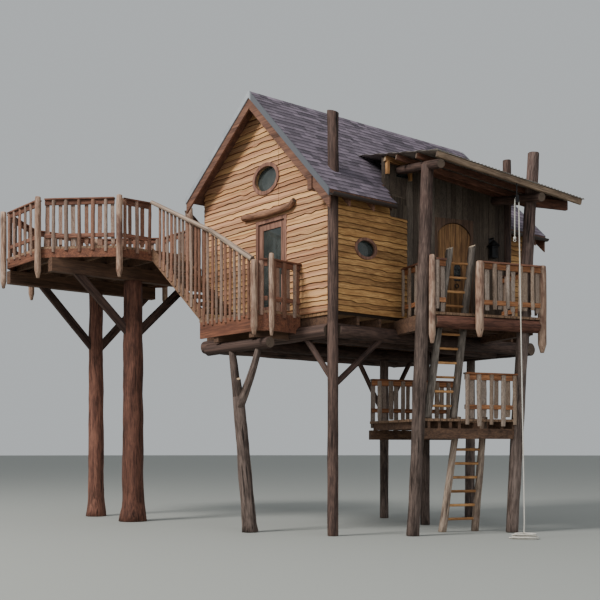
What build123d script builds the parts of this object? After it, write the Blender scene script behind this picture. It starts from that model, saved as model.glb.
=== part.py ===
"""A timber tree house on log posts: a gabled cabin with a balcony, a stair up to an octagonal
lookout, and a roofed porch over a small platform, reached by two log ladders.

Millimetres, +Z up. The origin is the foot of the post under the cabin's near corner. The gable
wall with the balcony is the plane y = 0, the side wall beside the porch is the plane x = 0, and
the cabin lies behind and to the left of that corner.
"""
import math
import os

from build123d import *

os.makedirs("parts", exist_ok=True)

# Fits
SEAT = 0.3  # gap where one piece is scribed to another

# Cabin
CABIN_WIDTH = 4300
CABIN_LENGTH = 6100
WALL = 120
FLOOR_Z = 4350
FLOOR_THICK = 80
JOIST_DEPTH = 170
JOIST_WIDTH = 70
CABIN_JOISTS = 11
GIRDER_R = 150
POST_GIRDER_X = (-860, -3010)  # girders that stand on the inner posts

# Main roof
RIDGE_X = -2200
RIDGE_Z = 9070
RIGHT_EAVE_X = 300
LEFT_EAVE_X = -4550
RIGHT_PITCH = 45
LEFT_PITCH = 37
RAKE = 350
BACK_RAKE = 150
ROOF_THICK = 60
RAFTER_DEPTH = 140
RAFTER_WIDTH = 60
RAFTER_BAYS = 9
BARGE_DEPTH = 210
BARGE_THICK = 40
FLASHING = 25
GUTTER_R = 60

# Gable door
DOOR_LEFT = -2400
DOOR_RIGHT = -1380
DOOR_HEAD_Z = 6430
DOOR_FRAME = 75
DOOR_REVEAL = 30  # how far the frame stands out of the wall
DOOR_THICK = 45
DOOR_GAP = 9
DOOR_SILL_GAP = 12
DOOR_STILE = 130
DOOR_GLASS = 8
HINGE_R = 9
HINGE_LENGTH = 120
HINGE_PLATE = 55
PIN_R = 4
PIN_PLAY = 0.08

# Oval windows
GABLE_WINDOW = (-2060, 7280)
GABLE_WINDOW_SIZE = (750, 530)
SIDE_WINDOW = (850, 5620)
SIDE_WINDOW_SIZE = (500, 340)
WINDOW_RING = 65
RING_PROUD = 45
PANE = 8

# Posts
CORNER_POST_R = 110
BACK_POST = (-860, CABIN_LENGTH - 2610)
MIDDLE_POST = (-3010, CABIN_LENGTH - 1750)
REAR_POST_FOOT = (-1880, CABIN_LENGTH + 80)
REAR_POST_TOP = (-1650, CABIN_LENGTH - GIRDER_R)
INNER_POST_R = 110
STUB_POST = (-330, 300)
STUB_POST_R = 125
STUB_TOP_Z = 8300

# Balcony
BALCONY_DEPTH = 1050
BALCONY_RIGHT = -950
BALCONY_LEFT = -3000
BALCONY_CHAMFER = (100, 200)  # corner point A stands right of the wall point, B left of A
DECK_THICK = 50
BALCONY_LOG_R = (55, 75)
RIM_DEPTH = 340
RIM_THICK = 40
BALCONY_BEAM_X = (-1250, -2450)
BALCONY_BEAM = (160, 250)
YOKE_R = 120
YOKE_Y = -860

# Railings
RAIL_HEIGHT = 1030
CAP_WIDTH = 130
CAP_THICK = 36
RAIL_BOARD = 38
UNDER_DEPTH = 110
LOW_DEPTH = 90
LOW_RAIL = 190
BALUSTER_WIDTH = 76
BALUSTER_THICK = 36
BALUSTER_PITCH = 138

# Stair and lookout
STAIR_FOOT_X = -2700
STAIR_NEAR_Y = -1050
STAIR_WIDTH = 800
RISERS = 9
TREAD_THICK = 45
STRINGER = 50
STRINGER_BELOW = 230
STRINGER_ABOVE = 40
LOOKOUT_CENTRE = (-7000, -1000)
LOOKOUT_R = 2300
LOOKOUT_Z = 6100
LOOKOUT_RAIL = 1050
LOOKOUT_JOIST = (60, 190)
LOOKOUT_JOISTS = 7
LOOKOUT_GIRDER = (200, 300)
COLUMN_NEAR = (-5950, -900)
COLUMN_NEAR_R = 270
COLUMN_FAR = (-8120, -690)
COLUMN_FAR_R = 210
CORNER_LOG_R = 75

# Porch, in its own frame: n points outwards from the cabin and t runs along the front
PORCH_ORIGIN = (980, 1180)
PORCH_TURN = -17.6
PORCH_Z = 4300
PORCH_LEFT_T = 290
PORCH_RIGHT_T = 2810
PORCH_FRONT_N = 230
RIM_LOG_R = 130
RIM_LOG_N = 170
RIM_LOG_T = (378, 2748)
PORCH_LOG_R = (66, 85, 93)
MIDDLE_LOG_T = 1253
PORCH_BEAM = (150, 280)
FRONT_POST_R = 132
LEFT_POST_FOOT_T = 0
LEFT_POST_TOP_T = 331
RIGHT_POST_FOOT_T = 2250
RIGHT_POST_TOP_T = 2769
RIGHT_POST_TOP_Z = 7660
LEFT_POST_LEAN_Z = 7400
HATCH_T = (470, 1380)
HATCH_N = (-760, 105)

# Porch room: a slanting plank wall with an arched door
SLANT_N = -1200
SLANT_WALL = 100
SLANT_LEFT_T = -10
SLANT_CABIN_T = 500
SLANT_RIGHT_T = 2860
RETURN_Y = 4450
PORCH_DOOR_T = (1170, 2090)
PORCH_DOOR_SPRING = 6150
PORCH_DOOR_RISE = 250
PORCH_DOOR_FRAME = 60
PORCH_DOOR_THICK = 50
PORCH_HEAD = 80
CLERESTORY_T = (275, 545)
CLERESTORY_Z = (7220, 7430)
ROOM_POST_R = 95
ROOM_POST_TOP = 7860

# Porch roof: a plane that falls outwards and to the right
PORCH_ROOF_Z = 7440  # over the porch's origin
PORCH_FALL_N = 0.176
PORCH_FALL_T = 0.183
PORCH_ROOF_FRONT_N = 600
PORCH_ROOF_LEFT_T = 200
PORCH_ROOF_SPLAY = 0.167  # how far the left edge runs out to the left, for each metre inwards
PORCH_ROOF_RIGHT_T = 3580
PORCH_ROOF_THICK = 28
PURLIN = (60, 110)
PURLIN_N = (520, -90, -720, -1150)
CROSS_LOG_R = 95
CROSS_LOG_T = (331, 2610)
CROSS_LOG_N = (-1190, 500)
OUTRIGGER = (90, 190)
OUTRIGGER_T = 3560
EAVE_BEAM_T = (-10, 660)
EAVE_BEAM = (90, 110)

# Middle platform and ladders
MID_Z = 2260
MID_BACK_N = -2300
MID_FRONT_N = 95
MID_T = (215, 2330)
MID_BEAM = (120, 200)
MID_JOIST = (60, 140)
MID_JOIST_T = (320, 550, 800, 1000, 1980, 2240)
MID_RAIL_HEIGHT = 910
LOWER_HATCH_T = (1035, 1945)
LOWER_HATCH_N = (-960, -250)
LADDER_R = 85
UPPER_LADDER_N = -58
RUNG_R = 23
RUNG_PITCH = 280

# Rope and pulley
ROPE_R = 12.5
PULLEY_T = 2010
PULLEY_Z = 6520
SHEAVE_R = 34.7
SHEAVE_FLANGE_R = 50
SHEAVE_GAP = 28
ROPE_TAIL_Z = 5800
HEAP = (2730, 2330)
HEAP_SIZE = (620, 560, 100)


def log(start, end, radius, end_radius=None, grow=0.0):
    """A peeled log between two points, thinner at one end if a second radius is given."""
    a, b = Vector(*start), Vector(*end)
    top = radius if end_radius is None else end_radius
    axis = b - a
    place = Plane(origin=a - axis.normalized() * grow, z_dir=axis)
    length = axis.length + 2 * grow
    if abs(top - radius) < 0.01:
        shape = Cylinder(radius + grow, length, align=(Align.CENTER, Align.CENTER, Align.MIN))
    else:
        shape = Cone(radius + grow, top + grow, length, align=(Align.CENTER, Align.CENTER, Align.MIN))
    return place * shape


def bent_log(stations):
    """A naturally bent log: a loft through round sections, each a point and a radius."""
    path = Spline(*[point for point, _ in stations])
    sections = []
    for point, radius in stations:
        along = path % path.param_at_point(point)
        sections.append(Plane(origin=point, z_dir=along) * Circle(radius))
    return loft(sections)


def beam(start, end, width, depth, grow=0.0):
    """A sawn timber along a line through its middle, its depth in the upright plane."""
    a, b = Vector(*start), Vector(*end)
    axis = b - a
    side = Vector(0, 0, 1).cross(axis)
    place = Plane(origin=a - axis.normalized() * grow, x_dir=side, z_dir=axis)
    size = (width + 2 * grow, depth + 2 * grow, axis.length + 2 * grow)
    return place * Box(*size, align=(Align.CENTER, Align.CENTER, Align.MIN))


def block(x0, x1, y0, y1, z0, z1):
    """A square block between two corners."""
    low = (min(x0, x1), min(y0, y1), min(z0, z1))
    size = (abs(x1 - x0), abs(y1 - y0), abs(z1 - z0))
    return Pos(*low) * Box(*size, align=(Align.MIN, Align.MIN, Align.MIN))


def slab(points, bottom, top):
    """A level plate with a polygon for its plan."""
    outline = Polyline(*[(x, y, bottom) for x, y in points], close=True)
    return extrude(make_face(outline), amount=top - bottom, dir=(0, 0, 1))


def gable_prism(points, y0, y1):
    """A solid whose outline is drawn on the x, z plane, from y0 to y1."""
    outline = Polyline(*[(x, y0, z) for x, z in points], close=True)
    return extrude(make_face(outline), amount=y1 - y0, dir=(0, 1, 0))


def solids_of(*shapes):
    """All solids of some shapes in one list."""
    return [solid for shape in shapes for solid in shape.solids()]


def scribe(shape, *others):
    """A shape cut away where other pieces stand."""
    for other in others:
        shape = shape - other
    return shape


def largest(shape):
    """The biggest solid of a shape, where a cut leaves offcuts."""
    return shape.solids().sort_by(SortBy.VOLUME)[-1]


def save(name, *shapes):
    """Write one node's solids to its file."""
    found = solids_of(*shapes)
    export_step(found[0] if len(found) == 1 else Compound(children=found), f"parts/{name}.step")


def roof_z(x, below=0.0, right=None):
    """The main roof's height at x, or of a line so far below it, measured square to the slope."""
    if x >= RIDGE_X if right is None else right:
        pitch = math.radians(RIGHT_PITCH)
        return RIDGE_Z - (x - RIDGE_X) * math.tan(pitch) - below / math.cos(pitch)
    pitch = math.radians(LEFT_PITCH)
    return RIDGE_Z - (RIDGE_X - x) * math.tan(pitch) - below / math.cos(pitch)


def slope_profile(inner_x, outer_x, top, bottom):
    """A roof member's outline on the x, z plane, between two depths below the roof's top."""
    right = outer_x > inner_x
    return [
        (inner_x, roof_z(inner_x, top, right)),
        (outer_x, roof_z(outer_x, top, right)),
        (outer_x, roof_z(outer_x, bottom, right)),
        (inner_x, roof_z(inner_x, bottom, right)),
    ]


def gable_top(right_x, left_x):
    """The line under both slopes of the main roof, as points from right to left."""
    return [
        (right_x, roof_z(right_x, ROOF_THICK)),
        (RIDGE_X, roof_z(RIDGE_X, ROOF_THICK, True)),
        (RIDGE_X, roof_z(RIDGE_X, ROOF_THICK, False)),
        (left_x, roof_z(left_x, ROOF_THICK)),
    ]


def porch_roof_z(n, t, below=0.0):
    """The porch roof's height at a point of the porch's plan, or of a plane so far below it."""
    steepness = math.sqrt(1 + PORCH_FALL_N**2 + PORCH_FALL_T**2)
    return PORCH_ROOF_Z - PORCH_FALL_N * n - PORCH_FALL_T * t - below * steepness


def porch_roof_plate(top, thick):
    """A wide plate that lies in the porch roof's slope, its upper face so far below the roof's."""
    place = Plane(
        origin=(0, 0, porch_roof_z(0, 0, top)), x_dir=(1, 0, -PORCH_FALL_N), z_dir=(PORCH_FALL_N, PORCH_FALL_T, 1)
    )
    return PORCH * (place * Box(16000, 16000, thick, align=(Align.CENTER, Align.CENTER, Align.MAX)))


def above_porch_roof(below):
    """All that lies over a plane so far below the porch roof's upper face."""
    return porch_roof_plate(below - 3000, 3000)


PORCH = Pos(*PORCH_ORIGIN, 0) * Rot(0, 0, PORCH_TURN)
GROUND = Pos(0, 0, -500) * Box(30000, 30000, 1000)


def porch_point(n, t, z):
    """A point of the porch's own frame as one of the whole house."""
    turn = math.radians(PORCH_TURN)
    x = PORCH_ORIGIN[0] + n * math.cos(turn) - t * math.sin(turn)
    y = PORCH_ORIGIN[1] + n * math.sin(turn) + t * math.cos(turn)
    return (x, y, z)


# Levels that follow from the ones above
girder_z = FLOOR_Z - FLOOR_THICK - JOIST_DEPTH - GIRDER_R
girder_under = girder_z - GIRDER_R
deck_under = FLOOR_Z - DECK_THICK
balcony_beam_z = deck_under - JOIST_DEPTH - 30 - BALCONY_BEAM[1] / 2
yoke_z = balcony_beam_z - BALCONY_BEAM[1] / 2 - YOKE_R
lookout_under = LOOKOUT_Z - DECK_THICK
lookout_joist_z = lookout_under - LOOKOUT_JOIST[1] / 2
lookout_girder_z = lookout_under - LOOKOUT_JOIST[1] - LOOKOUT_GIRDER[1] / 2
mid_under = MID_Z - DECK_THICK
mid_beam_z = mid_under - MID_JOIST[1] - MID_BEAM[1] / 2


def left_post(grow=0.0):
    """The porch's front left post, leaning towards the porch."""
    return log(
        porch_point(0, LEFT_POST_FOOT_T, 0),
        porch_point(0, LEFT_POST_TOP_T, LEFT_POST_LEAN_Z),
        FRONT_POST_R,
        grow=grow,
    )


def right_post(grow=0.0):
    """The porch's front right post, which goes on through the roof."""
    return log(
        porch_point(0, RIGHT_POST_FOOT_T, 0),
        porch_point(0, RIGHT_POST_TOP_T, RIGHT_POST_TOP_Z),
        FRONT_POST_R + 4,
        FRONT_POST_R - 6,
        grow=grow,
    )


def corner_post(grow=0.0):
    """The post under and beside the cabin's near corner, up to the eave."""
    return log((0, 0, 0), (0, 0, roof_z(CORNER_POST_R, ROOF_THICK) - 10), CORNER_POST_R, grow=grow)


def stub_post(grow=0.0):
    """The trunk that stands inside the cabin's corner and comes out of the roof."""
    return log((*STUB_POST, FLOOR_Z), (*STUB_POST, STUB_TOP_Z), STUB_POST_R, grow=grow)


def room_post(grow=0.0):
    """The porch room's outer corner post, which also comes out of its roof."""
    n, t = SLANT_N - 20, SLANT_RIGHT_T + ROOM_POST_R
    return log(porch_point(n, t, PORCH_Z), porch_point(n, t, ROOM_POST_TOP), ROOM_POST_R, grow=grow)


def back_post(grow=0.0):
    return log((*BACK_POST, 0), (*BACK_POST, girder_z), INNER_POST_R, grow=grow)


def middle_post(grow=0.0):
    return log((*MIDDLE_POST, 0), (*MIDDLE_POST, girder_z), INNER_POST_R, grow=grow)


def rear_post(grow=0.0):
    return log((*REAR_POST_FOOT, 0), (*REAR_POST_TOP, girder_z), INNER_POST_R + 20, INNER_POST_R, grow=grow)


def girders(grow=0.0):
    """Log girders under the cabin: a front and a back one, and those that run between them."""
    front_y, back_y = 0, CABIN_LENGTH - GIRDER_R
    left_x = -CABIN_WIDTH + GIRDER_R
    front = log((-CORNER_POST_R, front_y, girder_z), (-CABIN_WIDTH, front_y, girder_z), GIRDER_R, grow=grow)
    back = log((GIRDER_R, back_y, girder_z), (-CABIN_WIDTH, back_y, girder_z), GIRDER_R, grow=grow)
    runs = [log((0, 0, girder_z), (0, back_y, girder_z), GIRDER_R, grow=grow)]
    for x in (*POST_GIRDER_X, left_x):
        runs.append(log((x, front_y, girder_z), (x, back_y, girder_z), GIRDER_R, grow=grow))
    return front, back, runs


def yoke(grow=0.0):
    """The log across the fork, under the balcony's beams."""
    return log((BALCONY_RIGHT + 100, YOKE_Y, yoke_z), (BALCONY_LEFT + 50, YOKE_Y, yoke_z), YOKE_R, grow=grow)


def lookout_corners(radius=LOOKOUT_R):
    """The octagon's corners, from the one at the stair's near side on."""
    cx, cy = LOOKOUT_CENTRE
    angles = [math.radians(45 * k - 22.5) for k in range(8)]
    return [(cx + radius * math.cos(a), cy + radius * math.sin(a)) for a in angles]


def lookout_girders(grow=0.0):
    """The two beams across the columns' heads, along y."""
    reach = LOOKOUT_R * math.cos(math.radians(22.5)) - 150
    width, depth = LOOKOUT_GIRDER
    cy = LOOKOUT_CENTRE[1]
    return [
        beam((x, cy - reach, lookout_girder_z), (x, cy + reach, lookout_girder_z), width, depth, grow)
        for x in (COLUMN_NEAR[0], COLUMN_FAR[0])
    ]


def rim_log(grow=0.0):
    start = porch_point(RIM_LOG_N, RIM_LOG_T[0], PORCH_Z - DECK_THICK - RIM_LOG_R)
    end = porch_point(RIM_LOG_N, RIM_LOG_T[1], PORCH_Z - DECK_THICK - RIM_LOG_R)
    return log(start, end, RIM_LOG_R, grow=grow)


def make_posts():
    """Posts from the ground, each cut to what it carries."""
    front, back, runs = girders(SEAT)
    head = cross_log(CROSS_LOG_T[0], SEAT)
    left = scribe(left_post(), head, over_cross_log(CROSS_LOG_T[0]), GROUND)
    save(
        "support_posts",
        corner_post(),
        largest(scribe(back_post(), *runs)),
        largest(scribe(middle_post(), *runs)),
        largest(scribe(rear_post(), back, GROUND)),
        largest(left),
        scribe(right_post(), GROUND),
        stub_post(),
        room_post(),
        *lookout_columns(),
    )


def make_forked_post():
    """The leaning trunk under the balcony, with two arms up to the yoke and a cut branch."""
    foot, fork = (-1730, -680, 0), (-1890, YOKE_Y, 2650)
    trunk = log(foot, fork, 165, 125)
    knot = Pos(*fork) * Sphere(140)
    left_arm = log(fork, (-2110, YOKE_Y, yoke_z), 95, 75)
    right_arm = log(fork, (-1180, YOKE_Y, yoke_z), 88, 66)
    branch = log((-1810, YOKE_Y, 2750), (-1620, YOKE_Y - 190, 3060), 60, 42)
    post = trunk + knot + left_arm + right_arm + branch
    save("forked_post", largest(scribe(post, yoke(SEAT), GROUND)))


def lookout_columns():
    """The two log columns under the lookout, flared at the foot."""
    top = lookout_girder_z - LOOKOUT_GIRDER[1] / 2
    columns = []
    for (x, y), radius in ((COLUMN_NEAR, COLUMN_NEAR_R), (COLUMN_FAR, COLUMN_FAR_R)):
        shaft = log((x, y, 0), (x, y, top), radius, radius * 0.86)
        flare = log((x, y, 0), (x, y, 450), radius * 1.3, radius * 0.98)
        columns.append(shaft + flare)
    return columns


def make_braces():
    """Round and sawn knee braces, cut to their posts and beams."""
    front, back, runs = girders(SEAT)
    corner = corner_post(SEAT)
    pieces = [
        scribe(log((0, 0, 2990), (-870, 0, girder_z), 62), corner, front).solids().sort_by(Axis.Z)[0],
        scribe(log((0, 0, 2870), (0, 1400, girder_z), 62), corner, runs[0]).solids().sort_by(Axis.Z)[0],
    ]
    x, y = MIDDLE_POST
    for side in (-1, 1):
        arm = log((x, y, 2480), (x, y + side * 980, girder_z), 60)
        pieces.append(scribe(arm, middle_post(SEAT), runs[2]).solids().sort_by(Axis.Z)[0])
    under = lookout_girder_z - LOOKOUT_GIRDER[1] / 2
    for (x, y), radius, foot in ((COLUMN_NEAR, COLUMN_NEAR_R, 4350), (COLUMN_FAR, COLUMN_FAR_R, 4200)):
        column = log((x, y, 0), (x, y, under), radius, radius * 0.86, grow=SEAT)
        top_cut = block(x - 500, x + 500, y - 3000, y + 3000, under - SEAT, under + 900)
        for side in (-1, 1):
            arm = beam((x, y, foot - 100), (x, y + side * 1450, under + 60), 90, 190)
            pieces.append(scribe(arm, column, top_cut).solids().sort_by(Axis.Z)[0])
    save("knee_braces", *[largest(piece) for piece in pieces])


def make_girders():
    front, back, runs = girders()
    corner, front_grown, back_grown = corner_post(SEAT), girders(SEAT)[0], girders(SEAT)[1]
    cut_runs = [largest(scribe(run, corner, front_grown, back_grown)) for run in runs]
    rim = largest(scribe(rim_log(), left_post(SEAT), right_post(SEAT)))
    save("girders", scribe(front, corner), back, *cut_runs, yoke(), rim)


def make_joists():
    """Joists of the cabin, the balcony, the porch and the middle platform, with their beams."""
    pieces = []
    z = FLOOR_Z - FLOOR_THICK - JOIST_DEPTH / 2
    for i in range(CABIN_JOISTS):
        y = JOIST_WIDTH + i * (CABIN_LENGTH - 2 * JOIST_WIDTH) / (CABIN_JOISTS - 1)
        joist = beam((0, y, z), (-CABIN_WIDTH, y, z), JOIST_WIDTH, JOIST_DEPTH)
        pieces.append(largest(scribe(joist, corner_post(SEAT))))

    front = girders(SEAT)[0]
    for x in BALCONY_BEAM_X:
        near = (x, -BALCONY_DEPTH + RIM_THICK, balcony_beam_z)
        pieces.append(largest(scribe(beam(near, (x, 0, balcony_beam_z), *BALCONY_BEAM), front)))
    joist_z = deck_under - (JOIST_DEPTH + 30) / 2
    for y in (-220, -560, -900):
        ends = ((BALCONY_RIGHT + BALCONY_CHAMFER[0], y, joist_z), (BALCONY_LEFT + RIM_THICK, y, joist_z))
        joist = beam(*ends, JOIST_WIDTH, JOIST_DEPTH + 30)
        pieces.append(largest(scribe(joist, *balcony_rims(5))))

    side_z = PORCH_Z - DECK_THICK - PORCH_BEAM[1] / 2
    cabin_side = girders(SEAT)[2][0]
    cut_cabin = block(-3000, SEAT, -500, CABIN_LENGTH, 3000, FLOOR_Z)
    for t, post in ((PORCH_LEFT_T - 60, left_post(SEAT)), (PORCH_RIGHT_T - 130, right_post(SEAT))):
        side_beam = beam(porch_point(0, t, side_z), porch_point(-2600, t, side_z), *PORCH_BEAM)
        pieces.append(largest(scribe(side_beam, post, cabin_side, cut_cabin)))
    joist_z = PORCH_Z - DECK_THICK - JOIST_DEPTH / 2
    left_face = PORCH_LEFT_T - 60 + PORCH_BEAM[0] / 2
    right_face = PORCH_RIGHT_T - 130 - PORCH_BEAM[0] / 2
    for n in (-810, -1130, -1480):
        ends = (porch_point(n, left_face, joist_z), porch_point(n, right_face, joist_z))
        pieces.append(largest(scribe(beam(*ends, JOIST_WIDTH, JOIST_DEPTH), cut_cabin, cabin_side)))

    posts = (left_post(SEAT), right_post(SEAT))
    middle = (porch_point(0, 90, mid_beam_z), porch_point(0, 2440, mid_beam_z))
    pieces.append(largest(scribe(beam(*middle, *MID_BEAM), *posts)))
    back_n = MID_BACK_N + MID_BEAM[0] / 2 - 45
    behind = (porch_point(back_n, MID_T[0], mid_beam_z), porch_point(back_n, MID_T[1], mid_beam_z))
    pieces.append(largest(scribe(beam(*behind, *MID_BEAM), back_post(SEAT))))
    joist_z = mid_under - MID_JOIST[1] / 2
    for t in MID_JOIST_T:
        ends = (porch_point(MID_BEAM[0] / 2, t, joist_z), porch_point(MID_BACK_N + 20, t, joist_z))
        pieces.append(largest(scribe(beam(*ends, *MID_JOIST), back_post(SEAT), *posts)))
    save("floor_joists", *pieces)


def balcony_outline():
    """The balcony's plan, from the wall round the chamfered corner to the stair."""
    a_x = BALCONY_RIGHT + BALCONY_CHAMFER[0]
    b_x = a_x - BALCONY_CHAMFER[1]
    a_y = -BALCONY_DEPTH + BALCONY_CHAMFER[1]
    return [(BALCONY_RIGHT, 0), (a_x, a_y), (b_x, -BALCONY_DEPTH), (BALCONY_LEFT, -BALCONY_DEPTH)]


def porch_room_cut(grow=0.0):
    """The upright space outside the slanting wall, which the main roof's eave leaves free."""
    n0 = SLANT_N - SLANT_WALL - grow
    plan = [(n0, SLANT_LEFT_T - grow), (3000, SLANT_LEFT_T - grow), (3000, SLANT_RIGHT_T + 200 + grow)]
    plan.append((n0, SLANT_RIGHT_T + 200 + grow))
    return slab([porch_point(n, t, 0)[:2] for n, t in plan], PORCH_Z, RIDGE_Z)


def make_floors():
    plan = [(0, 0), (0, CABIN_LENGTH), (-CABIN_WIDTH, CABIN_LENGTH), (-CABIN_WIDTH, 0)]
    floor = slab(plan, FLOOR_Z - FLOOR_THICK, FLOOR_Z)
    save("cabin_floor", scribe(floor, corner_post(SEAT)))
    balcony = slab(balcony_outline() + [(BALCONY_LEFT, 0)], deck_under, FLOOR_Z)

    corners = [(PORCH_FRONT_N, PORCH_LEFT_T), (PORCH_FRONT_N, PORCH_RIGHT_T)]
    corners += [(-2800, PORCH_RIGHT_T), (-2800, PORCH_LEFT_T)]
    deck = slab([porch_point(n, t, 0)[:2] for n, t in corners], PORCH_Z - DECK_THICK, PORCH_Z)
    hatch = [(n, t) for n in HATCH_N for t in HATCH_T]
    hatch = [hatch[0], hatch[1], hatch[3], hatch[2]]
    hatch = slab([porch_point(n, t, 0)[:2] for n, t in hatch], PORCH_Z - 200, PORCH_Z + 200)
    cabin_side = block(-4000, SEAT, -500, CABIN_LENGTH, 3000, 5000)
    cuts = (hatch, cabin_side, left_post(SEAT), right_post(SEAT), *porch_log_cuts())
    porch = largest(scribe(deck, *cuts))

    corners = [(MID_FRONT_N, MID_T[0]), (MID_FRONT_N, MID_T[1]), (MID_BACK_N, MID_T[1]), (MID_BACK_N, MID_T[0])]
    deck = slab([porch_point(n, t, 0)[:2] for n, t in corners], mid_under, MID_Z)
    (n0, n1), (t0, t1) = LOWER_HATCH_N, LOWER_HATCH_T
    hatch = slab([porch_point(n, t, 0)[:2] for n, t in ((n0, t0), (n1, t0), (n1, t1), (n0, t1))], 1500, 3000)
    cuts = (hatch, left_post(SEAT), right_post(SEAT), back_post(SEAT), *lower_rails(SEAT))
    middle = largest(scribe(deck, *cuts))
    save("decks", balcony, porch, middle, slab(lookout_corners(), lookout_under, LOOKOUT_Z))


def make_lookout_beams():
    """The lookout's two girders and the joists that lie across them."""
    inner = slab(lookout_corners(LOOKOUT_R - RIM_THICK / math.cos(math.radians(22.5))), 4000, 7000)
    width, depth = LOOKOUT_JOIST
    joists = []
    for i in range(LOOKOUT_JOISTS):
        y = LOOKOUT_CENTRE[1] + (i - (LOOKOUT_JOISTS - 1) / 2) * 590
        cx = LOOKOUT_CENTRE[0]
        run = beam((cx - 3000, y, lookout_joist_z), (cx + 3000, y, lookout_joist_z), width, depth)
        joists.append(run & inner)
    save("lookout_beams", *lookout_girders(), *joists)


def balcony_rims(grow=0.0):
    """The boards round the balcony's edge, each cut a little short at its corners."""
    boards = []
    outline = balcony_outline()
    z = deck_under - RIM_DEPTH / 2
    for (x0, y0), (x1, y1) in zip(outline, outline[1:]):
        length = math.hypot(x1 - x0, y1 - y0)
        dx, dy = (x1 - x0) / length, (y1 - y0) / length
        trim = RIM_THICK * 0.55
        inset = (dy * RIM_THICK / 2, -dx * RIM_THICK / 2)
        start = (x0 + dx * trim + inset[0], y0 + dy * trim + inset[1], z)
        end = (x1 - dx * trim + inset[0], y1 - dy * trim + inset[1], z)
        board = beam(start, end, RIM_THICK + 2 * grow, RIM_DEPTH)
        boards.append(largest(scribe(board, girders(SEAT)[0])))
    return boards


def make_rims():
    """Boards round the edges of the balcony and the lookout."""
    boards = balcony_rims()
    outer = lookout_corners()
    z = lookout_under - LOOKOUT_JOIST[1] / 2
    cx, cy = LOOKOUT_CENTRE
    for (x0, y0), (x1, y1) in zip(outer, outer[1:] + outer[:1]):
        length = math.hypot(x1 - x0, y1 - y0)
        dx, dy = (x1 - x0) / length, (y1 - y0) / length
        trim = RIM_THICK * 0.5
        inset = (-dy * RIM_THICK / 2, dx * RIM_THICK / 2)
        start = (x0 + dx * trim + inset[0], y0 + dy * trim + inset[1], z)
        end = (x1 - dx * trim + inset[0], y1 - dy * trim + inset[1], z)
        boards.append(beam(start, end, RIM_THICK, LOOKOUT_JOIST[1]))
    save("rim_boards", *boards)


def rafter_places():
    """The y of each pair of rafters, between the gable walls."""
    first, last = WALL + RAFTER_WIDTH, CABIN_LENGTH - WALL - RAFTER_WIDTH
    return [first + i * (last - first) / RAFTER_BAYS for i in range(RAFTER_BAYS + 1)]


def rafters(outer_x, grow=0.0):
    """One slope's rafters, from the ridge board to a plumb cut at the eave."""
    side = 1 if outer_x > RIDGE_X else -1
    tail = outer_x - side * 20
    outline = slope_profile(RIDGE_X + side * 22, tail, ROOF_THICK - grow, ROOF_THICK + RAFTER_DEPTH + grow)
    half = RAFTER_WIDTH / 2 + grow
    return [gable_prism(outline, y - half, y + half) for y in rafter_places()]


def ridge_board(grow=0.0):
    half = 20 + grow
    top = roof_z(RIDGE_X + 20, ROOF_THICK) - 3
    y0, y1 = -RAKE + BARGE_THICK, CABIN_LENGTH + BACK_RAKE - BARGE_THICK
    return block(RIDGE_X - half, RIDGE_X + half, y0, y1, top - 220 - grow, top + grow)


def oval(width, height):
    return Ellipse(width / 2, height / 2)


def gable_oval(size, y0, y1):
    """An oval plug through the gable wall."""
    x, z = GABLE_WINDOW
    face = Plane(origin=(x, y0, z), x_dir=(1, 0, 0), z_dir=(0, 1, 0)) * oval(*size)
    return extrude(face, amount=y1 - y0)


def side_oval(size, x0, x1):
    """An oval plug through the side wall."""
    y, z = SIDE_WINDOW
    face = Plane(origin=(x0, y, z), x_dir=(0, 1, 0), z_dir=(1, 0, 0)) * oval(*size)
    return extrude(face, amount=x1 - x0)


def make_gable_wall():
    """The gable wall beside and over its door, with an oval window."""
    head = DOOR_HEAD_Z + SEAT
    top = [(0, head), *gable_top(0, -CABIN_WIDTH), (-CABIN_WIDTH, head)]
    over = gable_prism(top, 0, WALL)
    window = gable_oval(GABLE_WINDOW_SIZE, -10, WALL + 10)
    over = scribe(over, window, ridge_board(SEAT), corner_post(SEAT))
    right = scribe(block(DOOR_RIGHT, 0, 0, WALL, FLOOR_Z, DOOR_HEAD_Z), corner_post(SEAT))
    left = block(-CABIN_WIDTH, DOOR_LEFT, 0, WALL, FLOOR_Z, DOOR_HEAD_Z)
    save("gable_wall", largest(right), left, largest(over))


def make_side_walls():
    """The porch side's wall in front of and behind the porch room, and the log over the gap."""
    right_rafters = rafters(RIGHT_EAVE_X, SEAT)
    outline = [
        (0, FLOOR_Z),
        (0, roof_z(0, ROOF_THICK)),
        (-WALL, roof_z(-WALL, ROOF_THICK)),
        (-WALL, FLOOR_Z),
    ]
    room_near = porch_point(SLANT_N, SLANT_CABIN_T, 0)[1]
    front = gable_prism(outline, WALL, room_near)
    window = side_oval(SIDE_WINDOW_SIZE, -WALL - 10, 10)
    upper_cut = slant_wall_above(SEAT)
    front = largest(scribe(front, *right_rafters, window, upper_cut, corner_post(SEAT)))
    back = gable_prism(outline, RETURN_Y, CABIN_LENGTH - WALL)
    back = largest(scribe(back, *right_rafters))
    lintel_z = roof_z(0, ROOF_THICK + RAFTER_DEPTH)
    lintel = block(-WALL, 0, room_near + SEAT, RETURN_Y - SEAT, lintel_z - 180, lintel_z)
    slant = slant_outline(SLANT_LEFT_T, SLANT_RIGHT_T, PORCH_Z, SEAT)
    save("side_wall", front, back, largest(scribe(lintel, slant)))


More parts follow.
